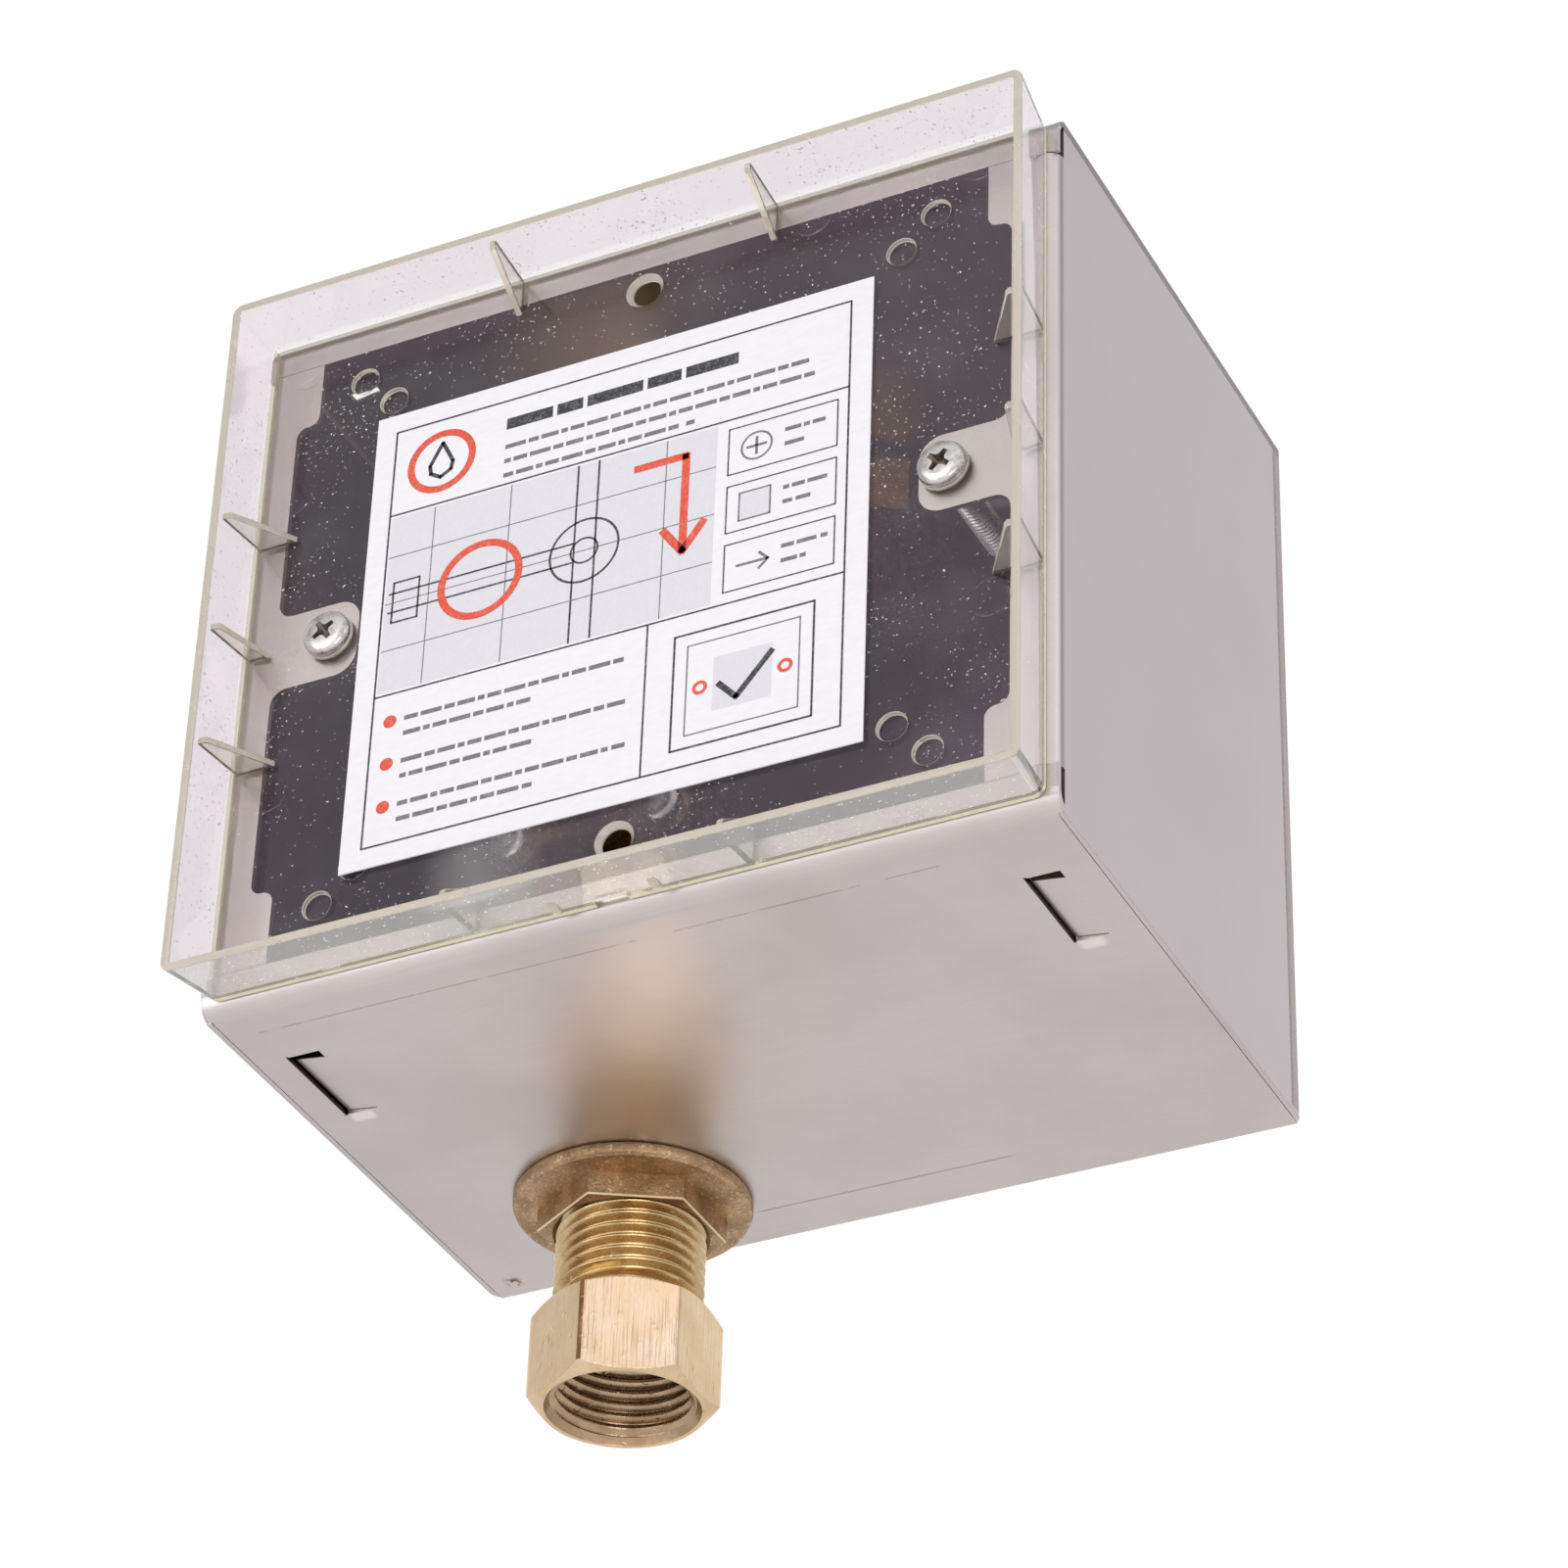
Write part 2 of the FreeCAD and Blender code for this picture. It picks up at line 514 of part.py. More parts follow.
def panel(name, sign, pipe_x):
    up = sign > 0
    low = "box_h / 2 - flange_w" if up else "-box_h / 2"
    fold_z = sign * size("box_h") / 2
    outer = block(name + "_out", "box_w", "box_d", "flange_w", "-box_w / 2", "-box_d", low)
    outer = rounded(name + "_fold_out", outer, [
        (lambda e: runs_along(e, "x") and near(e, y=-size("box_d"), z=fold_z), "fold_r")])
    inner = block(name + "_in", "box_w + 2 * over", "box_d", "flange_w",
                  "-box_w / 2 - over", "-box_d + plate", low + (" - plate" if up else " + plate"))
    inner = rounded(name + "_fold_in", inner, [
        (lambda e: runs_along(e, "x") and near(e, y=-size("box_d") + size("plate"),
                                               z=fold_z - sign * size("plate")),
         size("fold_r") - size("plate"))])
    tools = [inner]
    base_z = "box_h / 2 - plate" if up else "-box_h / 2"
    for side, x in (("l", "-box_w / 2 - over"), ("r", "box_w / 2 - plate - seam")):
        tools.append(block(name + "_side_" + side, "over + plate + seam", "box_d", "flange_w + 2 * over",
                           x, "-box_d + bend_r", low + " - over"))
    tools.append(rod(name + "_pipe_hole", "hole_r", "4 * plate", pipe_x, "pipe_y", base_z + " - plate"))
    tabs = []
    for side, sx in (("l", "-1"), ("r", "1")):
        edge = "%s * lance_x + lance_w / 2" % sx
        tools.append(block(name + "_lance_" + side, "lance_w", "lance_len", "4 * plate",
                           edge + " - lance_w", "-box_d + lance_front", base_z + " - plate"))
        tab = bind(doc.addObject("Part::Box", name + "_anchor_" + side),
                   Length="lance_w", Width="lance_len - lance_gap - seam", Height="plate")
        # hinged on its right long side, the left one pressed into the box
        rise = "lance_w * sin(lance_tilt)"
        place(tab, "%s + plate / 4 - lance_w * cos(lance_tilt)" % edge, "-box_d + lance_front + lance_gap",
              base_z + (" - " if up else " + ") + rise,
              Rotation(Vector(0, -1 if up else 1, 0), size("lance_tilt")))
        tabs.append(tab)
    shell = cut(name + "_shell", outer, tools)
    return keep(name, fuse(name, [shell] + tabs))


panel("top_panel", 1, "inlet_x")
panel("bottom_panel", -1, "outlet_x")


# Pipe fittings: hexagon socket with a long male thread, and flanged lock nut.
# Local Z = 0 on the box's outer face, growing away from the box.

def pipe_fitting(name, x, z, turn):
    body = new_body(name, x, "pipe_y", z, turn)
    top = "stub_len + socket_len"
    half, far, drop = corner_cut("socket_af", 30)
    hex_pad(body, name + "_hex", "socket_af", "stub_len", "socket_len")
    turned(body, name + "_chamfer_near", [(half, "stub_len"), (far, "stub_len + " + drop),
                                          (far, "stub_len - over"), (half, "stub_len - over")],
           "PartDesign::Groove")
    turned(body, name + "_chamfer_far", [(half, top), (half, top + " + over"), (far, top + " + over"),
                                         (far, top + " - " + drop)], "PartDesign::Groove")
    turned(body, name + "_stub", [
        ("0", "-stub_in"), ("thread_r - thread_lead", "-stub_in"), ("thread_r", "thread_lead - stub_in"),
        ("thread_r", "stub_len - relief_len - relief_slope"), ("relief_r", "stub_len - relief_len"),
        ("relief_r", "stub_len + over"), ("0", "stub_len + over")])
    turned(body, name + "_bore", [
        ("0", "-stub_in - over"), ("flow_r", "-stub_in - over"),
        ("flow_r", top + " - socket_depth - (core_r - flow_r) / 2"),
        ("core_r", top + " - socket_depth"), ("core_r", top + " + core_r - mouth_r"),
        ("mouth_r", top), ("mouth_r", top + " + over"), ("0", top + " + over")], "PartDesign::Groove")
    return body


def lock_nut(name, x, z, turn):
    body = new_body(name, x, "pipe_y", z, turn)
    top = "nut_disc_t + nut_hex_t"
    hex_pad(body, name + "_hex", "nut_af", "nut_disc_t / 2", "nut_hex_t + nut_disc_t / 2")
    half, far, drop = corner_cut("nut_af", 20)
    turned(body, name + "_chamfer", [(half, top), (half, top + " + over"), (far, top + " + over"),
                                     (far, top + " - " + drop)], "PartDesign::Groove")
    turned(body, name + "_disc", [
        ("0", "0"), ("nut_disc_r - nut_edge / 2", "0"), ("nut_disc_r", "nut_edge / 2"),
        ("nut_disc_r", "nut_disc_t - nut_edge"), ("nut_disc_r - nut_edge", "nut_disc_t"), ("0", "nut_disc_t")])
    turned(body, name + "_bore", [("0", "-over"), ("thread_r + run_gap", "-over"),
                                  ("thread_r + run_gap", top + " + over"), ("0", top + " + over")],
           "PartDesign::Groove")
    return body


pipe_fitting("inlet_fitting", "inlet_x", "box_h / 2", None)
pipe_fitting("outlet_fitting", "outlet_x", "-box_h / 2", DOWN)
lock_nut("inlet_lock_nut", "inlet_x", "box_h / 2", None)
lock_nut("outlet_lock_nut", "outlet_x", "-box_h / 2", DOWN)
for name, x, z in (("inlet_gasket", "inlet_x", "box_h / 2 - plate - gasket_t"),
                   ("outlet_gasket", "outlet_x", "-box_h / 2 + plate")):
    keep(name, cut(name, rod(name + "_disc", "gasket_r", "gasket_t", x, "pipe_y", z),
                   [rod(name + "_eye", "hole_r", "gasket_t + 2 * over", x, "pipe_y", z + " - over")]))


# Valve body: one brass casting. Water comes down the inlet boss, round the
# elbow into the stop housing, past the stop seat and the strainer, down the
# duct to the ring chamber, over the main seat and down the outlet neck.

boss_face = "(box_h / 2 - plate - gasket_t)"
solid = [
    hexagon("outlet_boss", "boss_af", "boss_len", "outlet_x", "pipe_y", "-" + boss_face),
    rod("outlet_neck", "neck_r", boss_face + " - boss_len / 2 + main_z", "outlet_x", "pipe_y",
        "-" + boss_face + " + boss_len / 2"),
    rod("main_housing", "main_r", "main_face - main_back", "outlet_x", "-main_back", "main_z", FRONT),
    hexagon("inlet_boss", "boss_af", "boss_len", "inlet_x", "pipe_y", boss_face + " - boss_len"),
    rod("inlet_drop", "elbow_r", boss_face + " - boss_len / 2 - stop_z - elbow_bend + blend",
        "inlet_x", "pipe_y", "stop_z + elbow_bend - blend"),
    rod("inlet_run", "elbow_r", "inlet_x - elbow_bend - outlet_x + blend", "outlet_x", "pipe_y", "stop_z",
        Rotation(Vector(0, 1, 0), 90)),
    rod("stop_housing", "stop_r", "stop_face - main_back", "outlet_x", "-main_back", "stop_z", FRONT),
    block("housing_bridge", "2 * (duct_r + bridge_wall)", "main_face - main_back - bridge_wall",
          "stop_z - main_z", "outlet_x - duct_r - bridge_wall", "-main_face", "main_z"),
    block("ear_plate", "2 * main_r", "ear_t", "2 * main_r", "outlet_x - main_r", "-main_face",
          "main_z - main_r"),
]


def bend(name, radius):
    obj = bind(doc.addObject("Part::Torus", name), Radius1="elbow_bend", Radius2=radius)
    obj.Angle1, obj.Angle2, obj.Angle3 = -180, 180, 90
    turn = Rotation(Vector(1, 0, 0), 90) * Rotation(Vector(0, 0, 1), -90)
    return place(obj, "inlet_x - elbow_bend", "pipe_y", "stop_z + elbow_bend", turn)


def ear_spots():
    return [(a, b) for a in ("-1", "1") for b in ("-1", "1")]


solid.append(bend("inlet_bend", "elbow_r"))
for i, (a, b) in enumerate(ear_spots()):
    solid.append(rod("body_ear_%d" % i, "ear_r", "ear_t", "outlet_x + %s * ear_pitch" % a,
                     "-main_face + ear_t", "main_z + %s * ear_pitch" % b, FRONT))
solid = fuse("casting", solid)
seat_out = "(seat_r + seat_wall)"
ring = cut("ring_chamber", rod("ring_room", "main_bore", "main_face - main_floor + over", "outlet_x",
                               "-main_floor", "main_z", FRONT),
           [rod("seat_tube", seat_out, "seat_face - main_floor + over", "outlet_x", "-main_floor + over",
                "main_z", FRONT)])
hollow = [
    rod("outlet_tap", "thread_r + run_gap", "boss_len - boss_floor", "outlet_x", "pipe_y", "-" + boss_face),
    rod("outlet_bore", "flow_r", "%s + main_z - main_bore - bridge_wall" % boss_face, "outlet_x", "pipe_y",
        "-%s" % boss_face),
    rod("back_duct", "back_duct_r", "main_bore + 2 * bridge_wall", "outlet_x", "-main_floor + seat_r + over",
        "main_z - main_bore - 2 * bridge_wall"),
    rod("seat_bore", "seat_r", "seat_face - main_floor + seat_r + back_duct_r + over", "outlet_x",
        "-main_floor + seat_r + back_duct_r", "main_z", FRONT),
    ring,
    rod("inlet_tap", "thread_r + run_gap", "boss_len - boss_floor + over", "inlet_x", "pipe_y",
        boss_face + " - boss_len + boss_floor"),
    rod("inlet_bore", "elbow_bore", boss_face + " - stop_z - elbow_bend + blend", "inlet_x", "pipe_y",
        "stop_z + elbow_bend - blend"),
    bend("inlet_bend_bore", "elbow_bore"),
    rod("inlet_run_bore", "elbow_bore", "inlet_x - elbow_bend - outlet_x + blend", "outlet_x", "pipe_y",
        "stop_z", Rotation(Vector(0, 1, 0), 90)),
    rod("stop_back_room", "stop_r - stop_wall", "stop_seat - stop_seat_t - main_back - stop_back", "outlet_x",
        "-main_back - stop_back", "stop_z", FRONT),
    rod("stop_seat_hole", "stop_seat_r", "stop_seat_t + 2 * over", "outlet_x",
        "-stop_seat + stop_seat_t + over", "stop_z", FRONT),
    rod("stop_front_room", "cap_thread_r", "stop_face - stop_seat + over", "outlet_x", "-stop_seat",
        "stop_z", FRONT),
    rod("duct", "duct_r", "stop_z - main_z", "outlet_x", "-stop_seat - duct_r - duct_set", "main_z"),
]
screw_tip = "-main_face - rim_t - bonnet_t + screw_len"
screw_holes = [rod("ear_tap_%d" % i, "screw_shank_r", "screw_len", "outlet_x + %s * ear_pitch" % a,
                   screw_tip + " + screw_end", "main_z + %s * ear_pitch" % b, FRONT)
               for i, (a, b) in enumerate(ear_spots())]
inside = fuse("waterways", hollow)
# the seat tube keeps its place where the duct comes down beside it
guard = cut("seat_guard", rod("seat_guard_out", seat_out, "seat_face - main_floor", "outlet_x",
                              "-main_floor", "main_z", FRONT),
            [rod("seat_guard_in", "seat_r", "seat_face", "outlet_x", "-main_floor + 2 * over", "main_z",
                 FRONT)])
casting = cut("casting_bored", solid, [inside] + screw_holes)
keep("valve_body", fuse("valve_body", [casting, guard]))


# Bonnet, with the pressure room behind it and the guide tube in front

front_of_rim = "main_face + rim_t"
bonnet_face = "-(%s) - bonnet_t" % front_of_rim
bonnet = [
    block("bonnet_plate", "2 * main_r", "bonnet_t", "2 * main_r", "outlet_x - main_r", bonnet_face,
          "main_z - main_r"),
    cone("bonnet_dome", "dome_r", "dome_r - dome_slope", "dome_len", "outlet_x", bonnet_face, "main_z", FRONT),
]
for i, (a, b) in enumerate(ear_spots()):
    bonnet.append(rod("bonnet_ear_%d" % i, "ear_r", "bonnet_t", "outlet_x + %s * ear_pitch" % a,
                      "-(%s)" % front_of_rim, "main_z + %s * ear_pitch" % b, FRONT))
bonnet = fuse("bonnet_solid", bonnet)
dome_face = "(%s + bonnet_t + dome_len)" % front_of_rim
bonnet_holes = [
    rod("pressure_room", "room_r", "room_len + over", "outlet_x", "-(%s) + over" % front_of_rim, "main_z",
        FRONT),
    rod("pilot_hole", "pilot_r", "rim_t + bonnet_t + dome_len + over", "outlet_x", "-main_face", "main_z",
        FRONT),
    rod("tube_socket", "tube_flange_r", "tube_flange_t + over", "outlet_x", "-%s + tube_flange_t" % dome_face,
        "main_z", FRONT),
]
for i, (a, b) in enumerate(ear_spots()):
    bonnet_holes.append(rod("bonnet_hole_%d" % i, "screw_shank_r + screw_gap", "bonnet_t + 2 * over",
                            "outlet_x + %s * ear_pitch" % a, "-(%s) + over" % front_of_rim,
                            "main_z + %s * ear_pitch" % b, FRONT))
keep("bonnet", cut("bonnet", bonnet, bonnet_holes))

head_face = value(bonnet_face + " - screw_head_t")


def is_head_rim(edge):
    return len(edge.Vertexes) == 1 and abs(edge.CenterOfMass.y - head_face) < 0.01


screws = []
for i, (a, b) in enumerate(ear_spots()):
    x, z = "outlet_x + %s * ear_pitch" % a, "main_z + %s * ear_pitch" % b
    head = rod("bonnet_screw_blank_%d" % i, "screw_head_r", "screw_head_t", x, bonnet_face, z, FRONT)
    screws.append(rounded("bonnet_screw_head_%d" % i, head, [(is_head_rim, "screw_edge")]))
    screws.append(rod("bonnet_screw_shank_%d" % i, "screw_shank_r", "screw_len + screw_edge / 2", x,
                      bonnet_face + " + screw_len", z, FRONT))
keep("bonnet_screws", fuse("bonnet_screws", screws))

# Diaphragm: clamped rim, sloping web and flat middle resting on the main seat
dia = new_body("diaphragm", "outlet_x", "-seat_face", "main_z", FRONT)
rim = "(main_face - seat_face)"
turned(dia, "diaphragm_skin", [
    ("0", "0"), ("seat_r + seat_wall + web_gap", "0"), ("main_bore - web_gap", rim), ("main_r - rim_in", rim),
    ("main_r - rim_in", rim + " + rim_t"), ("room_r - seam", rim + " + rim_t"),
    ("plate_r + rim_in", "skin"), ("0", "skin")])
plate_body = new_body("diaphragm_plate", "outlet_x", "-seat_face - skin", "main_z", FRONT)
turned(plate_body, "plate_turned", [
    ("0", "0"), ("plate_r", "0"), ("plate_r", "plate_t - plate_edge"), ("plate_r - plate_edge", "plate_t"),
    ("plate_eye_r", "plate_t"), ("plate_eye_r", "plate_t - plate_eye"), ("0", "plate_t - plate_eye")])

# Solenoid: guide tube with its fixed core, plunger, coil and nut
core_end = "plunger_len + stroke + plunger_foot"
tube = new_body("guide_tube", "outlet_x", "-" + dome_face, "main_z", FRONT)
turned(tube, "guide_tube_turned", [
    ("tube_bore", "-tube_flange_t"), ("tube_flange_r", "-tube_flange_t"),
    ("tube_flange_r", "tube_flange_t / 2"), ("tube_r", "tube_flange_t / 2"), ("tube_r", "tube_len"),
    ("0", "tube_len"), ("0", core_end), ("tube_bore", core_end)])
plunger = new_body("plunger", "outlet_x", "-" + dome_face, "main_z", FRONT)
seal_end = "plunger_foot + seal_len"
turned(plunger, "plunger_turned", [
    ("0", seal_end), ("seal_r", seal_end), ("seal_r", "plunger_foot"),
    ("tube_bore - run_gap", "plunger_foot"), ("tube_bore - run_gap", "plunger_len"),
    ("spring_room_r", "plunger_len"), ("spring_room_r", "plunger_len - spring_room"),
    ("0", "plunger_len - spring_room")])
seal = new_body("plunger_seal", "outlet_x", "-" + dome_face, "main_z", FRONT)
turned(seal, "plunger_seal_turned", [
    ("0", seal_end), ("seal_r", seal_end), ("seal_r", "plunger_foot"), ("seal_nose", "-tube_flange_t"),
    ("0", "-tube_flange_t")])
coil = new_body("coil", "outlet_x", "-" + dome_face, "main_z", FRONT)
coil_front = "coil_foot + coil_len"
turned(coil, "coil_turned", [
    ("tube_r + coil_gap", "coil_foot"), ("coil_r", "coil_foot"), ("coil_r", "coil_foot + coil_end"),
    ("coil_r - coil_waist", "coil_foot + coil_end + coil_slope"),
    ("coil_r - coil_waist", coil_front + " - coil_end - coil_slope"), ("coil_r", coil_front + " - coil_end"),
    ("coil_r", coil_front), ("tube_r + coil_gap", coil_front)])
nut = new_body("coil_nut", "outlet_x", "-" + dome_face, "main_z", FRONT)
hex_pad(nut, "coil_nut_hex", "coil_nut_af", coil_front, "coil_nut_t")
turned(nut, "coil_nut_bore", [("0", "0"), ("tube_r", "0"), ("tube_r", coil_front + " + coil_nut_t + over"),
                              ("0", coil_front + " + coil_nut_t + over")], "PartDesign::Groove")


def arc(start, end, leaving):
    """Arc between two points that leaves the first one in a given direction."""
    chord = end - start
    along = chord * (1 / chord.Length)
    aside = leaving - along * leaving.dot(along)
    angle = math.acos(leaving.dot(along))
    rise = aside * (chord.Length / 2 * math.tan(angle / 2) / aside.Length)
    return Part.Arc(start, (start + end) * 0.5 + rise, end).toShape()


def two_arcs(start, leaving, end, arriving):
    """Two arcs that join smoothly between two points with given directions."""
    reach = end - start
    turn = 2 * (1 - leaving.dot(arriving))
    slack = reach.dot(leaving + arriving)
    arm = (math.sqrt(slack * slack + turn * reach.dot(reach)) - slack) / turn
    meet = (start + end + (leaving - arriving) * arm) * 0.5
    through = reach - (leaving + arriving) * arm
    return [arc(start, meet, leaving), arc(meet, end, through * (1 / through.Length))]


def spring(name, coil_radius, wire, turns, start_y, length):
    """Open-coil spring on the diaphragm axis, towards the front: a wire swept along quarter turns."""
    r, pitch = size(coil_radius), (length - size(wire)) / size(turns)
    slope = math.atan(pitch / (2 * math.pi * r))
    spots = []
    for quarter in range(int(4 * size(turns)) + 1):
        a = math.pi / 2 * quarter
        spots.append((Vector(r * math.cos(a), r * math.sin(a), pitch * quarter / 4),
                      Vector(-math.sin(a) * math.cos(slope), math.cos(a) * math.cos(slope), math.sin(slope))))
    edges = []
    for (here, leaving), (there, arriving) in zip(spots, spots[1:]):
        edges += two_arcs(here, leaving, there, arriving)
    section = Part.Wire(Part.makeCircle(size(wire) / 2, *spots[0]))
    obj = doc.addObject("Part::Feature", name)
    obj.Shape = Part.Wire(edges).makePipeShell([section], True, False)
    obj.Placement = Placement(Vector(size("outlet_x"), start_y - size(wire) / 2, size("main_z")), FRONT)
    return keep(name, obj)


spring("diaphragm_spring", "return_r", "return_wire", "return_turns", value("-seat_face - skin - plate_t"),
       value("main_face + rim_t + room_len - seat_face - skin - plate_t"))
spring("plunger_spring", "pilot_spring_r", "pilot_wire", "pilot_turns",
       value("-%s - plunger_len + spring_room" % dome_face), value("spring_room + stroke + plunger_foot"))


# Strainer cap with the stop spindle through it, its disc and the screen

cap_face = "stop_face + cap_seal_t"
cap = new_body("strainer_cap", "outlet_x", "-(%s)" % cap_face, "stop_z", FRONT)
hex_pad(cap, "cap_hex", "cap_af", "cap_disc_t / 2", "cap_hex_t + cap_disc_t / 2")
top = "cap_disc_t + cap_hex_t"
half, far, drop = corner_cut("cap_af", 30)
turned(cap, "cap_chamfer", [(half, top), (half, top + " + over"), (far, top + " + over"),
                            (far, top + " - " + drop)], "PartDesign::Groove")
plug = "-cap_seal_t - cap_plug"
turned(cap, "cap_plug_turned", [
    ("0", plug), ("cap_thread_r - run_gap - cap_lead", plug),
    ("cap_thread_r - run_gap", plug + " + cap_lead"), ("cap_thread_r - run_gap", "0"), ("cap_disc_r", "0"),
    ("cap_disc_r", "cap_disc_t"), ("0", "cap_disc_t")])
turned(cap, "cap_bore", [
    ("0", plug + " - over"), ("screen_r - screen_wall", plug + " - over"),
    ("screen_r - screen_wall", plug + " + cap_room"),
    ("spindle_r + run_gap", plug + " + cap_room + cap_room_slope"), ("spindle_r + run_gap", top + " + over"),
    ("0", top + " + over")], "PartDesign::Groove")
keep("cap_gasket", cut("cap_gasket", rod("cap_gasket_disc", "cap_disc_r - cap_gasket_in", "cap_seal_t",
                                         "outlet_x", "-stop_face", "stop_z", FRONT),
                       [rod("cap_gasket_eye", "cap_thread_r", "cap_seal_t + 2 * over", "outlet_x",
                            "-stop_face + over", "stop_z", FRONT)]))
screen = new_body("strainer_screen", "outlet_x", "-stop_seat - screen_gap", "stop_z", FRONT)
plug_end = "stop_face - cap_plug - stop_seat - screen_gap"
turned(screen, "screen_sleeve", [
    ("screen_r - screen_wall", "0"), ("screen_r", "0"), ("screen_r", plug_end),
    ("screen_r - screen_wall", plug_end)])
sk = outline(screen, "screen_window", "XZ_Plane", [
    ("-slot_w / 2", "screen_end"), ("slot_w / 2", "screen_end"),
    ("slot_w / 2", plug_end + " - screen_end"), ("-slot_w / 2", plug_end + " - screen_end")])
doc.recompute()
win = screen.newObject("PartDesign::Pocket", "screen_windows")
win.Profile = sk
win.Type = 1
win.Midplane = True
doc.recompute()
pat = screen.newObject("PartDesign::PolarPattern", "screen_pattern")
pat.Originals = [win]
pat.Axis = (plane(screen, "Z_Axis"), [""])
pat.Occurrences = 7
pat.Angle = 180 - 180 / pat.Occurrences
screen.Tip = pat
doc.recompute()

spindle = new_body("stop_spindle", "outlet_x", "-(%s)" % cap_face, "stop_z", FRONT)
open_disc = "(stop_seat + stop_travel + facing_t + seat_gap)"
foot = "%s - (%s) + disc_floor + seat_gap" % (open_disc, cap_face)
front = top + " + spindle_out"
turned(spindle, "spindle_turned", [
    ("0", foot), ("screw_part_r", foot), ("screw_part_r", plug + " + collar_back"),
    ("spindle_r + collar_step", plug + " + collar_back"),
    ("spindle_r + collar_step", plug + " + collar_back + collar_t"),
    ("spindle_r", plug + " + collar_back + collar_t + spindle_edge / 2"),
    ("spindle_r", front + " - spindle_edge"), ("spindle_r - spindle_edge", front), ("0", front)])
sk = outline(spindle, "driver_slot", "XZ_Plane", [
    ("-driver_w / 2", front + " - driver_deep"), ("driver_w / 2", front + " - driver_deep"),
    ("driver_w / 2", front + " + over"), ("-driver_w / 2", front + " + over")])
doc.recompute()
slot = spindle.newObject("PartDesign::Pocket", "driver_slot_cut")
slot.Profile = sk
slot.Type = 1
slot.Midplane = True
doc.recompute()
disc = new_body("stop_disc", "outlet_x", "-" + open_disc, "stop_z", FRONT)
turned(disc, "stop_disc_turned", [
    ("0", "0"), ("disc_r", "0"), ("disc_r", "disc_rim"), ("hub_r", "disc_t"), ("hub_r", "disc_t + hub_len"),
    ("screw_part_r + run_gap", "disc_t + hub_len"), ("screw_part_r + run_gap", "disc_floor"),
    ("0", "disc_floor")])
facing = new_body("disc_facing", "outlet_x", "-" + open_disc, "stop_z", FRONT)
turned(facing, "disc_facing_turned", [
    ("0", "-facing_t"), ("disc_r - facing_in", "-facing_t"), ("disc_r - facing_in / 2", "0"), ("0", "0")])


# Clear tray: four leaning walls round a floor that lies on the box flanges

def frustum(name, half_w, half_h, front, back, grow):
    """Block that widens by grow towards the front (-Y)."""
    obj = doc.addObject("Part::Wedge", name)
    bind(obj, Xmin="-(%s) - %s" % (half_w, grow), Xmax="%s + %s" % (half_w, grow),
         Zmin="-(%s) - %s" % (half_h, grow), Zmax="%s + %s" % (half_h, grow),
         X2min="-(%s)" % half_w, X2max=half_w, Z2min="-(%s)" % half_h, Z2max=half_h,
         Ymin=front, Ymax=back)
    return obj


lean = "(tray_flare / tray_d)"
tray_front = "-box_d - tray_d"
shell = frustum("tray_outer", "tray_w / 2", "tray_h / 2", tray_front, "-box_d", "tray_flare")
long_edges = [(lambda e: abs(e.Vertexes[0].Point.y - e.Vertexes[-1].Point.y) > 1, "tray_corner")]
shell = rounded("tray_outer_round", shell, long_edges)
room = frustum("tray_inner", "tray_w / 2 - tray_wall + tray_floor * %s" % lean,
               "tray_h / 2 - tray_wall + tray_floor * %s" % lean, tray_front + " - over",
               "-box_d - tray_floor", "(tray_d - tray_floor + over) * %s" % lean)
room = rounded("tray_inner_round", room, [(long_edges[0][0], size("tray_corner") / 2)])
pan = cut("tray_pan", shell, [room])
adds = []


def gusset(name, reach, x, z, turn=None):
    """Three-cornered rib from a wall's rim down to the floor; local +X leaves the wall."""
    obj = doc.addObject("Part::Wedge", name)
    bind(obj, Xmin="0", Xmax="rib_tip + tray_wall / 2", Zmin="0", Zmax="rib_t", X2min="0",
         X2max="%s + tray_wall / 2" % reach, Z2min="0", Z2max="rib_t", Ymin="0",
         Ymax="tray_d - tray_floor / 2 - rib_low")
    return place(obj, x, "-box_d - tray_d + rib_low", z, turn)


in_w, in_h = "(tray_w / 2 - tray_wall / 2)", "(tray_h / 2 - tray_wall / 2)"
for tag, z, reach in (("low", "-side_rib_z", "rib_reach"), ("mid", "0", "mid_rib_reach"),
                      ("high", "side_rib_z", "rib_reach")):
    adds.append(gusset("rib_left_" + tag, reach, "-" + in_w, z + " - rib_t / 2"))
    adds.append(gusset("rib_right_" + tag, reach, in_w, z + " + rib_t / 2", Rotation(Vector(0, 1, 0), 180)))
for tag, x in (("l", "-end_rib_x"), ("r", "end_rib_x")):
    adds.append(gusset("rib_bottom_" + tag, "rib_reach", x + " + rib_t / 2", "-" + in_h,
                       Rotation(Vector(0, 1, 0), -90)))
    adds.append(gusset("rib_top_" + tag, "rib_reach", x + " - rib_t / 2", in_h,
                       Rotation(Vector(0, 1, 0), 90)))
for side, sx in (("l", "-1"), ("r", "1")):
    adds.append(rod("screw_ring_" + side, "ring_r", "ring_t + tray_floor / 2", sx + " * screw_x",
                    "-box_d - tray_floor / 2", "0", FRONT))
for tag, x in (("l", "-nub_x"), ("r", "nub_x")):
    nub = doc.addObject("Part::Wedge", "snap_nub_" + tag)
    bind(nub, Xmin="-nub_w / 2", Xmax="nub_w / 2", Zmin="0", Zmax="nub_root", X2min="-nub_w / 2",
         X2max="nub_w / 2", Z2min="-nub_out", Z2max="nub_root", Ymin="0", Ymax="nub_len")
    adds.append(place(nub, x, "-box_d - nub_front", "-tray_h / 2 - (nub_front - nub_len / 2) * %s" % lean))
pan = fuse("tray_ribbed", [pan] + adds)
gone = []
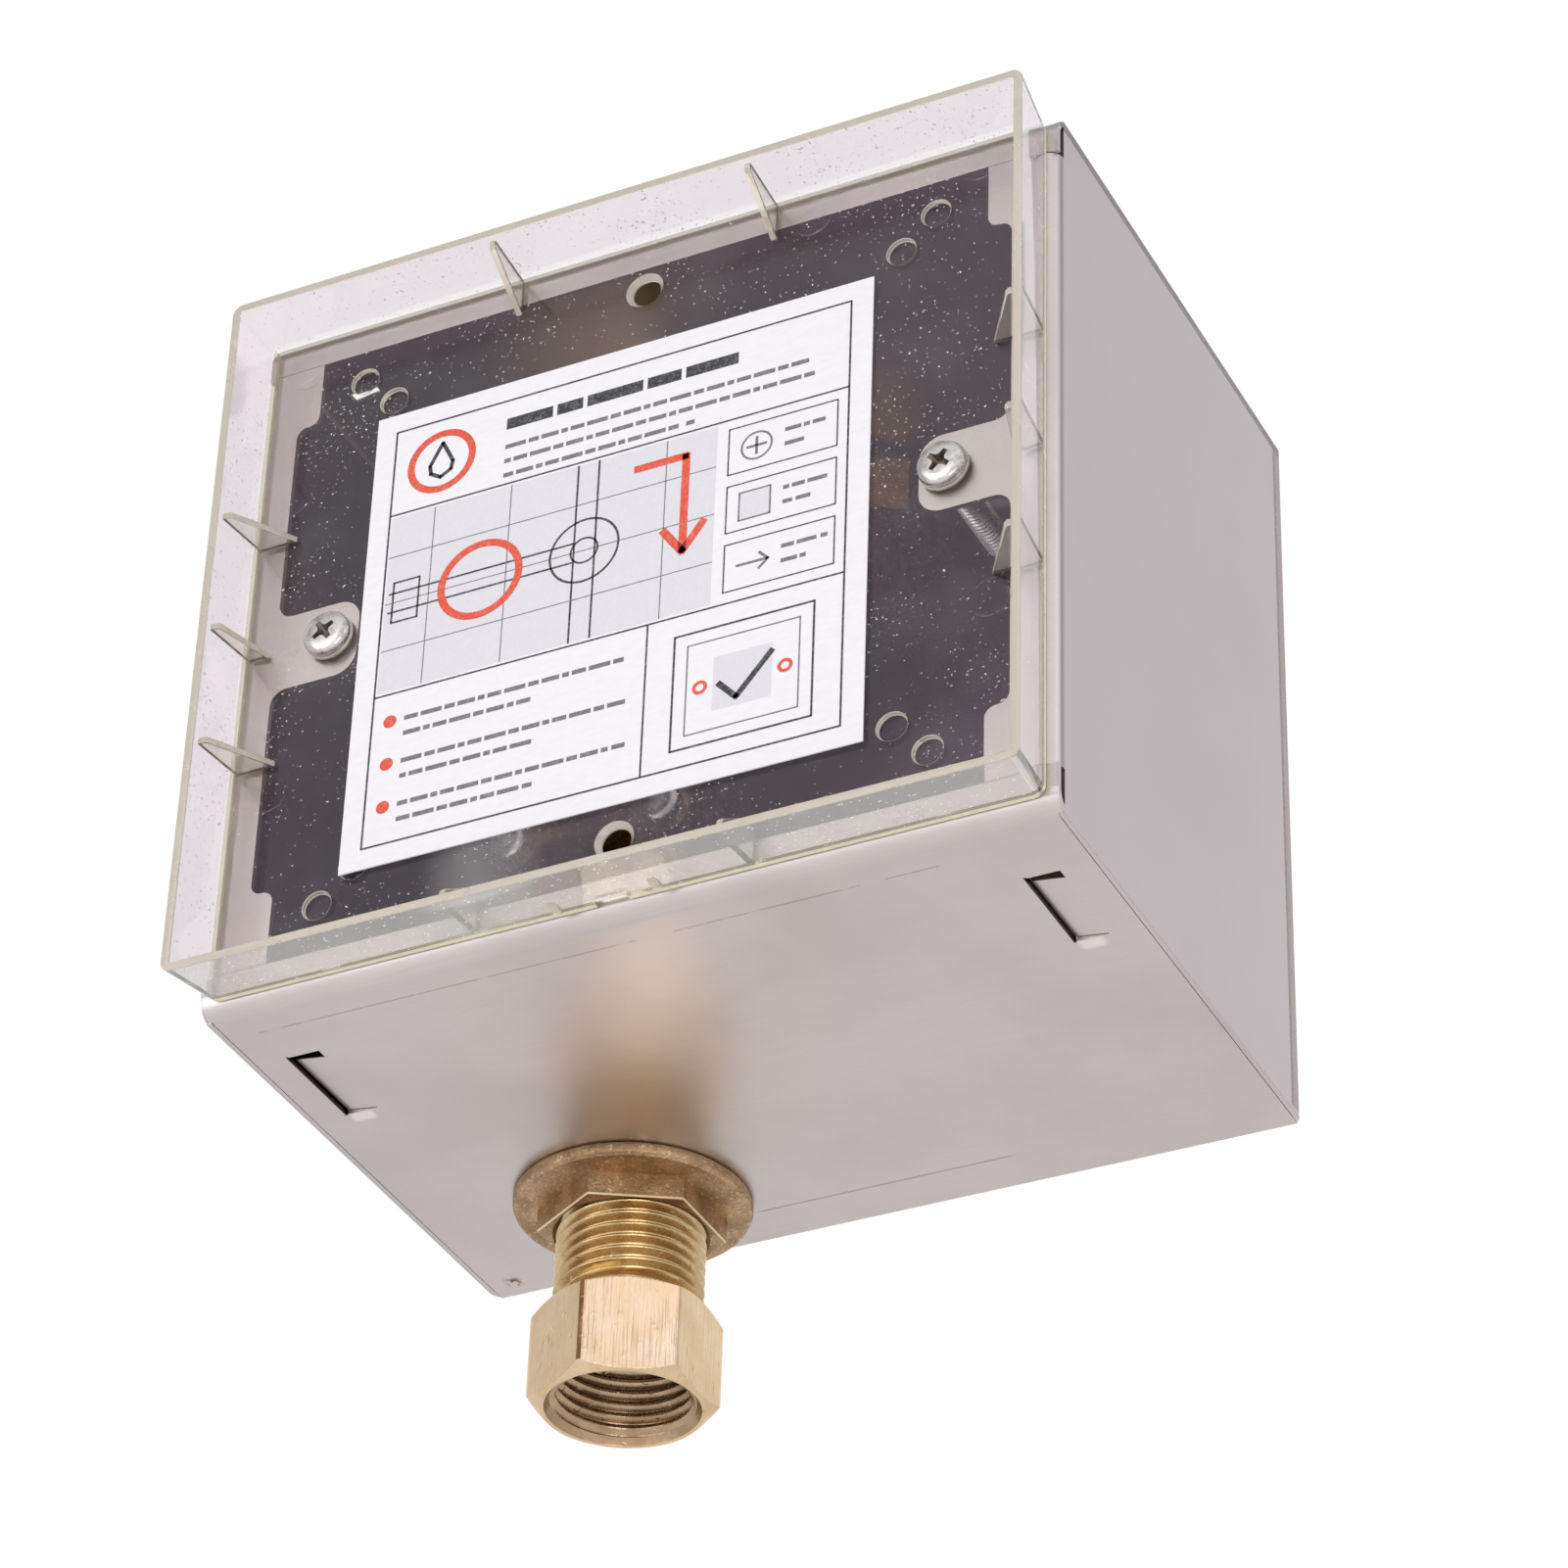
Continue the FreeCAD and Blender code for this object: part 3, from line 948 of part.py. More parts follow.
for side, sx in (("l", "-1"), ("r", "1")):
    gone.append(rod("cover_hole_" + side, "cover_shank_r + screw_gap", "tray_floor + ring_t + 2 * over",
                    sx + " * screw_x", "-box_d + over", "0", FRONT))
for end, sz in (("t", "1"), ("b", "-1")):
    gone.append(rod("spare_hole_" + end, "spare_r", "tray_floor + 2 * over", "0", "-box_d + over",
                    sz + " * spare_z", FRONT))
    gone.append(cone("spare_sink_" + end, "spare_r", "spare_sink_r + sink_over",
                     "spare_sink_r + sink_over - spare_r", "0",
                     "-box_d - tray_floor + spare_sink_r - spare_r", sz + " * spare_z", FRONT))
    for side, sx in (("l", "-1"), ("r", "1")):
        for tag, spot in (("out", "pocket_out"), ("in", "pocket_in")):
            gone.append(rod("pocket_%s_%s%s" % (tag, side, end), "pocket_r", "pocket_deep + over",
                            "%s * %s" % (sx, spot), "-box_d - tray_floor + pocket_deep",
                            "%s * %s" % (sz, spot), FRONT))
gone.append(block("drain_notch", "notch_w", "notch_d + over", "tray_wall + 2 * over", "-notch_w / 2",
                  "-box_d - notch_d", "-tray_h / 2 - over"))
keep("cover_tray", cut("cover_tray", pan, gone))

keep("label_sheet", block("label_sheet", "label_w", "label_t", "label_w", "label_x - label_w / 2",
                          "-box_d - tray_floor - label_t", "label_z - label_w / 2"))

for name, sx in (("cover_screw_left", "-1"), ("cover_screw_right", "1")):
    body = new_body(name, sx + " * screw_x", "-box_d - tray_floor - ring_t", "0", FRONT)
    turned(body, name + "_turned", [
        ("0", "-cover_len"), ("cover_shank_r - tip_chamfer", "-cover_len"),
        ("cover_shank_r", "tip_chamfer - cover_len"), ("cover_shank_r", "0"), ("cover_head_r", "0"),
        ("cover_head_r", "cover_head_t - head_edge"), ("cover_head_r - head_round", "cover_head_t"),
        ("0", "cover_head_t")])

doc.recompute()

bad = []
for obj in doc.Objects:
    if "Invalid" in obj.State or "Error" in obj.State:
        bad.append("%s is %s" % (obj.Name, obj.State))
for name, obj in PARTS.items():
    shape = obj.Shape
    if shape.isNull() or not shape.isValid() or not shape.Solids:
        bad.append("%s has no valid solid" % name)
if bad:
    raise SystemExit("build stopped: " + "; ".join(bad))

os.makedirs("parts", exist_ok=True)
for name, obj in PARTS.items():
    obj.Shape.exportStep("parts/%s.step" % name)
    box = obj.Shape.BoundBox
    print("%-18s solids %d  volume %9.2f  x %.2f..%.2f  y %.2f..%.2f  z %.2f..%.2f" % (
        name, len(obj.Shape.Solids), obj.Shape.Volume, box.XMin, box.XMax, box.YMin, box.YMax,
        box.ZMin, box.ZMax))
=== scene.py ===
"""In-wall automatic urinal flush valve: the looks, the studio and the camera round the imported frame."""
import logging
import math
from dataclasses import dataclass, field
from enum import Enum
from functools import cached_property
from typing import Callable, Sequence

import bmesh
import bpy
from mathutils import Matrix, Vector


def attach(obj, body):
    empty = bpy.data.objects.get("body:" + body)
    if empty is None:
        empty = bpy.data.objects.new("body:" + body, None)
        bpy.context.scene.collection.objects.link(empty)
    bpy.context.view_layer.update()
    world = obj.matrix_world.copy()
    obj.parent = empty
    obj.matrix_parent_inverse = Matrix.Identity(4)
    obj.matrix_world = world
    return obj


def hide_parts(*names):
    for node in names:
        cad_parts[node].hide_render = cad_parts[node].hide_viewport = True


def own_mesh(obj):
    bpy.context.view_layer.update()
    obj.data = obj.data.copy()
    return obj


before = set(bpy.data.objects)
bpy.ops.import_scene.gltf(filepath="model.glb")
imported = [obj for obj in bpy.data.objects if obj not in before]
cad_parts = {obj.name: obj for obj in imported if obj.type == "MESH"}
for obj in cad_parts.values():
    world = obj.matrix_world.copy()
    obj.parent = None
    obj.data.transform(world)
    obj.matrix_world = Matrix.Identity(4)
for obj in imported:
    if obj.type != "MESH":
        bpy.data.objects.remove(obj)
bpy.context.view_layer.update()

logging.basicConfig(level=logging.INFO, format="%(message)s")
LOG = logging.getLogger("flush_valve")

Shell = bmesh.types.BMesh
Face = bmesh.types.BMFace
Edge = bmesh.types.BMEdge
Vert = bmesh.types.BMVert
Tree = bpy.types.NodeTree
Node = bpy.types.Node
Socket = bpy.types.NodeSocket
Line = tuple[list[Vert], list[Edge]]
Outline = Sequence[tuple[float, float]]
Limit = Callable[[float], float]

MM = 0.001
FRONT = Matrix.Rotation(math.radians(90), 4, "X")  # local Z out of the box's mouth, towards -Y
DOWN = Matrix.Rotation(math.radians(180), 4, "X")  # local Z down

BOX_SIDE = 62.0      # half the box's width
BOX_TOP = 57.0       # half the box's height
PIPE_Y = -16.8       # pipe axes from the back face
OUTLET_X = -31.2     # outlet and valve axis
VALVE_Z = 6.6        # height of the diaphragm axis
STOP_Z = 36.0        # height of the stop and strainer axis
FLANGE_Y = -82.5     # front of the box's flanges
SHEET = 0.8          # thickness of the box's sheet


# Small helpers for colours, nodes and meshes


def linear(code: str) -> tuple[float, float, float, float]:
    """Turns an sRGB hex colour into linear light.

    Args:
        code: Colour as "#RRGGBB".

    Returns:
        Red, green, blue and an alpha of 1.
    """
    parts = [int(code[i:i + 2], 16) / 255 for i in (1, 3, 5)]
    return (*[c / 12.92 if c <= 0.04045 else ((c + 0.055) / 1.055) ** 2.4 for c in parts], 1.0)


def add(tree: Tree, kind: str, inputs: dict | None = None, **settings) -> Node:
    """Adds one node.

    Args:
        tree: The node tree that gets it.
        kind: Blender's name of the node type.
        inputs: Socket name or number, with a value or another node's output.
        **settings: Properties of the node itself.

    Returns:
        The new node.
    """
    node = tree.nodes.new(kind)
    for name, value in settings.items():
        setattr(node, name, value)
    for name, value in (inputs or {}).items():
        if isinstance(value, Socket):
            tree.links.new(value, node.inputs[name])
        else:
            node.inputs[name].default_value = value
    return node


def bare(owner: bpy.types.Material | bpy.types.World) -> Tree:
    """Switches the nodes of a material or a world on and clears them.

    Args:
        owner: The material or world.

    Returns:
        Its empty node tree.
    """
    owner.use_nodes = True
    owner.node_tree.nodes.clear()
    return owner.node_tree


def shown(name: str, data: bpy.types.ID) -> bpy.types.Object:
    """Puts new data into the scene.

    Args:
        name: The object's name.
        data: A mesh, a lamp or a camera.

    Returns:
        The object.
    """
    thing = bpy.data.objects.new(name, data)
    bpy.context.scene.collection.objects.link(thing)
    return thing


def ahead(x: float, y: float, z: float) -> Matrix:
    """Makes the place whose local Z points out of the box's mouth, from a point in mm."""
    return Matrix.Translation((x, y, z)) @ FRONT


def strung(bm: Shell, places: Sequence[Sequence[float]], closed: bool = False) -> Line:
    """Joins new points by edges, one after another.

    Args:
        bm: The shell that gets them.
        places: The points.
        closed: Whether the last point joins the first.

    Returns:
        The points and the edges.
    """
    points = [bm.verts.new(place) for place in places]
    pairs = list(zip(points, points[1:])) + ([(points[-1], points[0])] if closed else [])
    return points, [bm.edges.new(pair) for pair in pairs]


def spun(bm: Shell, line: Line, steps: int, turns: float = 1.0, rise: float = 0.0) -> None:
    """Sweeps a line about Z.

    Args:
        bm: The shell.
        line: The line's points and edges.
        steps: Divisions of the sweep.
        turns: Full turns of the sweep.
        rise: How much each step climbs.
    """
    bmesh.ops.spin(bm, geom=line[0] + line[1], cent=(0, 0, 0), axis=(0, 0, 1), dvec=(0, 0, rise),
                   angle=math.tau * turns, steps=steps, use_merge=rise == 0, use_duplicate=False)


def lathe(profile: Outline, steps: int = 64, closed: bool = False, at: Sequence[float] = (0.0, 0.0)) -> Shell:
    """Turns a profile about an upright axis.

    Args:
        profile: Pairs of radius and height in mm; the ends lie on the axis unless it is closed.
        steps: Divisions of the full turn.
        closed: Whether the last point joins the first, as in a ring.
        at: X and Y of the axis.

    Returns:
        A closed shell with its faces outward.
    """
    bm = bmesh.new()
    spun(bm, strung(bm, [(r, 0, z) for r, z in profile], closed), steps)
    bmesh.ops.remove_doubles(bm, verts=bm.verts, dist=1e-4)
    bmesh.ops.recalc_face_normals(bm, faces=bm.faces)
    bmesh.ops.translate(bm, verts=bm.verts, vec=(*at, 0))
    return bm


def hexed(bm: Shell, across_flats: float, corner: float, edge: float, above: float = -math.inf) -> Shell:
    """Presses a turned shell into a hexagon about Z, flats towards +X and -X.

    Args:
        bm: The turned shell.
        across_flats: Width over two flats in mm.
        corner: Sharpness of the hexagon's six corners.
        edge: Sharpness where flats meet the turned faces.
        above: Only what lies above this height is pressed.

    Returns:
        The same shell.
    """
    for vert in (v for v in bm.verts if v.co.z > above):
        radius = math.hypot(vert.co.x, vert.co.y)
        if radius < across_flats * 0.3:
            continue
        turn = math.atan2(vert.co.y, vert.co.x)
        near = sum(max(0.0, math.cos(turn - math.radians(60 * side))) ** corner for side in range(6))
        flat = across_flats / 2 / near ** (1 / corner)
        small = min(radius, flat)
        new = small * (1 + (small / max(radius, flat)) ** edge) ** (-1 / edge)
        vert.co.x *= new / radius
        vert.co.y *= new / radius
    return bm


def blank(across: float) -> float:
    """Gives the radius of the round blank that a hexagon's corners are cut from, in mm."""
    return across / 2 / math.cos(math.radians(30)) + 0.3


def boxed(size: Sequence[float], place: Matrix) -> Shell:
    """Makes a block.

    Args:
        size: Its three sides in mm.
        place: Where its centre goes and how it is turned.

    Returns:
        The closed block.
    """
    bm = bmesh.new()
    bmesh.ops.create_cube(bm, size=1.0)
    bmesh.ops.scale(bm, verts=bm.verts, vec=size)
    bmesh.ops.transform(bm, verts=bm.verts, matrix=place)
    return bm


def plate(outline: Outline, thick: float) -> Shell:
    """Makes a flat plate from its outline in XY; it grows up from Z 0.

    Args:
        outline: Its corners in mm, in order.
        thick: Its thickness.

    Returns:
        The closed plate.
    """
    bm = bmesh.new()
    bmesh.ops.contextual_create(bm, geom=strung(bm, [(x, y, 0) for x, y in outline], closed=True)[1])
    grown = bmesh.ops.extrude_face_region(bm, geom=bm.faces[:])["geom"]
    bmesh.ops.translate(bm, verts=[g for g in grown if isinstance(g, Vert)], vec=(0, 0, thick))
    bmesh.ops.recalc_face_normals(bm, faces=bm.faces)
    return bm


def marked(bm: Shell, index: int = 1, only: Callable[[Face], bool] | None = None) -> Shell:
    """Gives faces of a shell another of the piece's finishes.

    Args:
        bm: The shell.
        index: Number of the finish.
        only: Test that a face has to pass, if not all are meant.

    Returns:
        The same shell.
    """
    for face in bm.faces:
        if only is None or only(face):
            face.material_index = index
    return bm


def soften(bm: Shell, width: float, only: Callable[[Edge], bool] | None = None) -> None:
    """Rounds the edges of a shell that turn more than 50 degrees.

    Args:
        bm: The shell.
        width: Width of the rounding in mm.
        only: Test that an edge has to pass, if not all are meant.
    """
    sharp = [e for e in bm.edges if len(e.link_faces) == 2
             and e.calc_face_angle(0) > math.radians(50) and (only is None or only(e))]
    bmesh.ops.bevel(bm, geom=sharp, offset=width, affect="EDGES", segments=2, profile=0.5,
                    material=-1, clamp_overlap=True)


def joined(*shells: Shell) -> Shell:
    """Puts several closed shells into the first of them.

    Args:
        *shells: The shells; all but the first are freed.

    Returns:
        The first shell.
    """
    first = shells[0]
    for other in shells[1:]:
        spare = bpy.data.meshes.new("spare")
        other.to_mesh(spare)
        first.from_mesh(spare)
        bpy.data.meshes.remove(spare)
        other.free()
    return first


def carved(base: Shell, tool: Shell, how: str = "DIFFERENCE") -> Shell:
    """Cuts one closed shell with another.

    Args:
        base: The shell that is kept.
        tool: The shell that cuts.
        how: DIFFERENCE, INTERSECT or UNION.

    Returns:
        The shell that is left; both others are freed.
    """
    pair = []
    for shell in (base, tool):
        mesh = bpy.data.meshes.new("spare")
        shell.to_mesh(mesh)
        shell.free()
        pair.append(shown("spare", mesh))
    cut = pair[0].modifiers.new("cut", "BOOLEAN")
    cut.operation, cut.object, cut.solver = how, pair[1], "EXACT"
    bpy.context.view_layer.update()
    made = bpy.data.meshes.new_from_object(pair[0].evaluated_get(bpy.context.evaluated_depsgraph_get()))
    out = bmesh.new()
    out.from_mesh(made)
    bpy.data.meshes.remove(made)
    for spare in pair:
        mesh = spare.data
        bpy.data.objects.remove(spare)
        bpy.data.meshes.remove(mesh)
    bmesh.ops.remove_doubles(out, verts=out.verts, dist=1e-4)
    return out


def rim(bm: Shell, height: float) -> list[Edge]:
    """Finds the open edges of a skin that lie at a height."""
    return [e for e in bm.edges if e.is_boundary and all(abs(v.co.z - height) < 0.02 for v in e.verts)]


def carry_on(bm: Shell, edges: list[Edge], radius: float, height: float) -> list[Edge]:
    """Grows an open rim into the next ring.

    Args:
        bm: The skin.
        edges: Its open rim.
        radius: Radius of the new rim in mm.
        height: Height of the new rim.

    Returns:
        The edges of the new rim.
    """
    grown = bmesh.ops.extrude_edge_only(bm, edges=edges)["geom"]
    for vert in (g for g in grown if isinstance(g, Vert)):
        out = Vector((vert.co.x, vert.co.y, 0)).normalized() * radius
        vert.co = (out.x, out.y, height)
    return [g for g in grown if isinstance(g, Edge) and g.is_boundary]


@dataclass(frozen=True)
class Thread:
    """Right-hand screw thread about Z, in mm."""

    root: float
    crest: float
    pitch: float
    steps: int = 72
    flat: float = 0.07  # rounding of crest and root, as a share of the depth

    def skin(self, low: float, high: float, limit: Limit) -> Shell:
        """Makes the thread's helical skin.

        Args:
            low: Height where it starts.
            high: Height where it ends.
            limit: Largest radius at a height, for lead chamfers and run-outs.

        Returns:
            The skin, open at both heights.
        """
        bm = bmesh.new()
        worn = self.flat * (self.crest - self.root)
        tooth = ((0.0, self.root), (0.09, self.root + worn), (0.41, self.crest - worn), (0.5, self.crest),
                 (0.59, self.crest - worn), (0.91, self.root + worn))
        turns = math.ceil((high - low) / self.pitch) + 2
        line = strung(bm, [(r, 0, low - 1.5 * self.pitch + (turn + rise) * self.pitch)
                           for turn in range(turns) for rise, r in tooth])
        spun(bm, line, self.steps, rise=self.pitch / self.steps)
        bmesh.ops.remove_doubles(bm, verts=bm.verts, dist=2e-3)
        for height, side in ((low, -1), (high, 1)):
            bmesh.ops.bisect_plane(bm, geom=bm.verts[:] + bm.edges[:] + bm.faces[:], dist=1e-4,
                                   plane_co=(0, 0, height), plane_no=(0, 0, side), clear_outer=True)
        for vert in bm.verts:
            radius = math.hypot(vert.co.x, vert.co.y)
            most = limit(vert.co.z)
            if radius > most:
                vert.co.x *= most / radius
                vert.co.y *= most / radius
        return bm

    def rod(self, low: float, high: float, limit: Limit) -> Shell:
        """Makes a closed rod with the thread, to cut with or to show.

        Args:
            low: Height of its lower end.
            high: Height of its upper end.
            limit: Largest radius at a height.

        Returns:
            The closed rod.
        """
        bm = self.skin(low, high, limit)
        for height in (low, high):
            bmesh.ops.contextual_create(bm, geom=carry_on(bm, rim(bm, height), self.root * 0.3, height))
        bmesh.ops.recalc_face_normals(bm, faces=bm.faces)
        return bm


def finished(bm: Shell, name: str, finish: bpy.types.Material | Sequence, body: str,
             place: Matrix | None = None, stands_for: Sequence[str] = (),
             smooth: float = 32.0) -> bpy.types.Object:
    """Turns a shell into a piece of the object.

    Args:
        bm: The closed shell, in mm.
        name: Name of the piece.
        finish: Its material, or several in the order that marked() counts them.
        body: The moving body that it rides on.
        place: Where the shell goes, in mm.
        stands_for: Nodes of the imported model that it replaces.
        smooth: Edges that turn more than this many degrees stay sharp.

    Returns:
        The piece, with its place in its mesh.
    """
    if place is not None:
        bmesh.ops.transform(bm, verts=bm.verts, matrix=place)
    bmesh.ops.scale(bm, verts=bm.verts, vec=(MM, MM, MM))
    mesh = bpy.data.meshes.new(name)
    bm.to_mesh(mesh)
    bm.free()
    mesh.polygons.foreach_set("use_smooth", [True] * len(mesh.polygons))
    mesh.set_sharp_from_angle(angle=math.radians(smooth))
    for one in [finish] if isinstance(finish, bpy.types.Material) else finish:
        mesh.materials.append(one)
    piece = shown(name, mesh)
    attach(piece, body)
    if stands_for:
        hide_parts(*stands_for)
    LOG.info("%s: %d faces, on %s", name, len(mesh.polygons), body)
    return piece


def dress(finish: bpy.types.Material, *nodes: str) -> None:
    """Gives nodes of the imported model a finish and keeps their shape.

    Args:
        finish: The material.
        *nodes: Names of the nodes.
    """
    for name in nodes:
        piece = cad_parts[name]
        if not piece.material_slots:
            piece.data.materials.append(finish)
        for spot in piece.material_slots:
            spot.material = finish
        LOG.info("%s: %s", name, finish.name)


# Finishes


class Pattern:
    """Lays patterns of real size on one material: its colour, its normal and what fills it."""

    def __init__(self, tree: Tree, where: Socket, code: str = "#FFFFFF") -> None:
        """Starts from an even ground.

        Args:
            tree: The material's nodes.
            where: Coordinates in metres.
            code: The ground's colour.
        """
        self.tree = tree
        self.where = where
        self.colour: object = linear(code)
        self.bent: dict[str, Socket] = {}
        self.within: dict[str, Socket] = {}

    @cached_property
    def place(self) -> Sequence[Socket]:
        """The three coordinates."""
        return add(self.tree, "ShaderNodeSeparateXYZ", {0: self.where}).outputs

    def noise(self, size_mm: float, stretch: Sequence[float] = (1, 1, 1), detail: float = 3.0,
              rough: float = 0.5) -> Socket:
        """Adds a noise of a real size.

        Args:
            size_mm: Size of its blotches.
            stretch: How many times longer they are along X, Y and Z.
            detail: Octaves.
            rough: Share that each finer octave keeps.

        Returns:
            The noise's value, about 0.3 to 0.7.
        """
        spread = add(self.tree, "ShaderNodeMapping", {"Vector": self.where, "Scale": [1 / s for s in stretch]})
        return add(self.tree, "ShaderNodeTexNoise", {"Vector": spread.outputs[0], "Scale": 1 / (size_mm * MM),
                                                     "Detail": detail, "Roughness": rough}).outputs["Fac"]

    def ramp(self, value: Socket, start: float, end: float, low: float = 0.0, high: float = 1.0) -> Socket:
        """Maps a value smoothly from one range to another.

        Args:
            value: What is mapped.
            start: Value that gives low.
            end: Value that gives high.
            low: First result.
            high: Last result.

        Returns:
            The mapped value.
        """
        return add(self.tree, "ShaderNodeMapRange",
                   {"Value": value, "From Min": start, "From Max": end, "To Min": low, "To Max": high},
                   interpolation_type="SMOOTHSTEP").outputs[0]

    def past(self, value: Socket, start_mm: float, end_mm: float) -> Socket:
        """Marks where a coordinate has passed a border that fades from start to end."""
        return self.ramp(value, start_mm * MM, end_mm * MM)

    def merged(self, how: str, masks: Sequence[Socket]) -> Socket:
        """Merges masks from the first to the last.

        Args:
            how: The operation that merges two.
            masks: The masks.

        Returns:
            The merged mask.
        """
        out = masks[0]
        for mask in masks[1:]:
            out = add(self.tree, "ShaderNodeMath", {0: out, 1: mask}, operation=how).outputs[0]
        return out

    def both(self, *masks: Socket) -> Socket:
        """Multiplies masks, so that only where all of them are set is left."""
        return self.merged("MULTIPLY", masks)

    def either(self, *masks: Socket) -> Socket:
        """Takes the strongest of several masks."""
        return self.merged("MAXIMUM", masks)

    def far(self, axis: int, middle_mm: float | None = None) -> Socket:
        """Measures how far a coordinate is from a middle.

        Args:
            axis: The coordinate: 0, 1 or 2.
            middle_mm: The middle, where it isn't the frame's own.

        Returns:
            The distance in metres.
        """
        off = self.place[axis]
        if middle_mm is not None:
            off = add(self.tree, "ShaderNodeMath", {0: off, 1: middle_mm * MM},
                      operation="SUBTRACT").outputs[0]
        return add(self.tree, "ShaderNodeMath", {0: off}, operation="ABSOLUTE").outputs[0]

    def band(self, axis: int, middle_mm: float, half_mm: float, fade_mm: float) -> Socket:
        """Marks a strip round a coordinate.

        Args:
            axis: The coordinate: 0, 1 or 2.
            middle_mm: Middle of the strip.
            half_mm: Half its width.
            fade_mm: Width over which it fades.

        Returns:
            1 in the strip and 0 outside it.
        """
        return self.ramp(self.far(axis, middle_mm), half_mm * MM, (half_mm + fade_mm) * MM, 1.0, 0.0)

    def coat(self, share: Socket, code: str) -> None:
        """Lays a colour over what is there, as far as a mask lets it show."""
        self.colour = add(self.tree, "ShaderNodeMix", {0: share, 6: self.colour, 7: linear(code)},
                          data_type="RGBA").outputs[2]

    def bump(self, height: Socket, depth_mm: float, strength: float) -> None:
        """Lets a height bend the normal, on top of what has bent it before.

        Args:
            height: The pattern, 0 to 1.
            depth_mm: What 1 stands for.
            strength: How much of it shows.
        """
        inputs = {"Height": height, "Distance": depth_mm * MM, "Strength": strength, **self.bent}
        self.bent = {"Normal": add(self.tree, "ShaderNodeBump", inputs).outputs[0]}


@dataclass(frozen=True)
class Finish:
    """A procedural material; paint() lays its pattern."""

    name: str = "finish"
    colour: str = "#FFFFFF"

    def paint(self, art: Pattern) -> dict:
        """Lays the finish's pattern over its colour.

        Args:
            art: The material's pattern.

        Returns:
            The shader's inputs apart from colour and normal.
        """
        raise NotImplementedError

    def made(self) -> bpy.types.Material:
        """Builds the material.

        Returns:
            The material, with its nodes linked.
        """
        material = bpy.data.materials.new(self.name)
        tree = bare(material)
        art = Pattern(tree, add(tree, "ShaderNodeTexCoord").outputs["Object"], self.colour)
        inputs = self.paint(art)
        shader = add(tree, "ShaderNodeBsdfPrincipled", {**inputs, **art.bent, "Base Color": art.colour})
        add(tree, "ShaderNodeOutputMaterial", {"Surface": shader.outputs[0], **art.within})
        return material


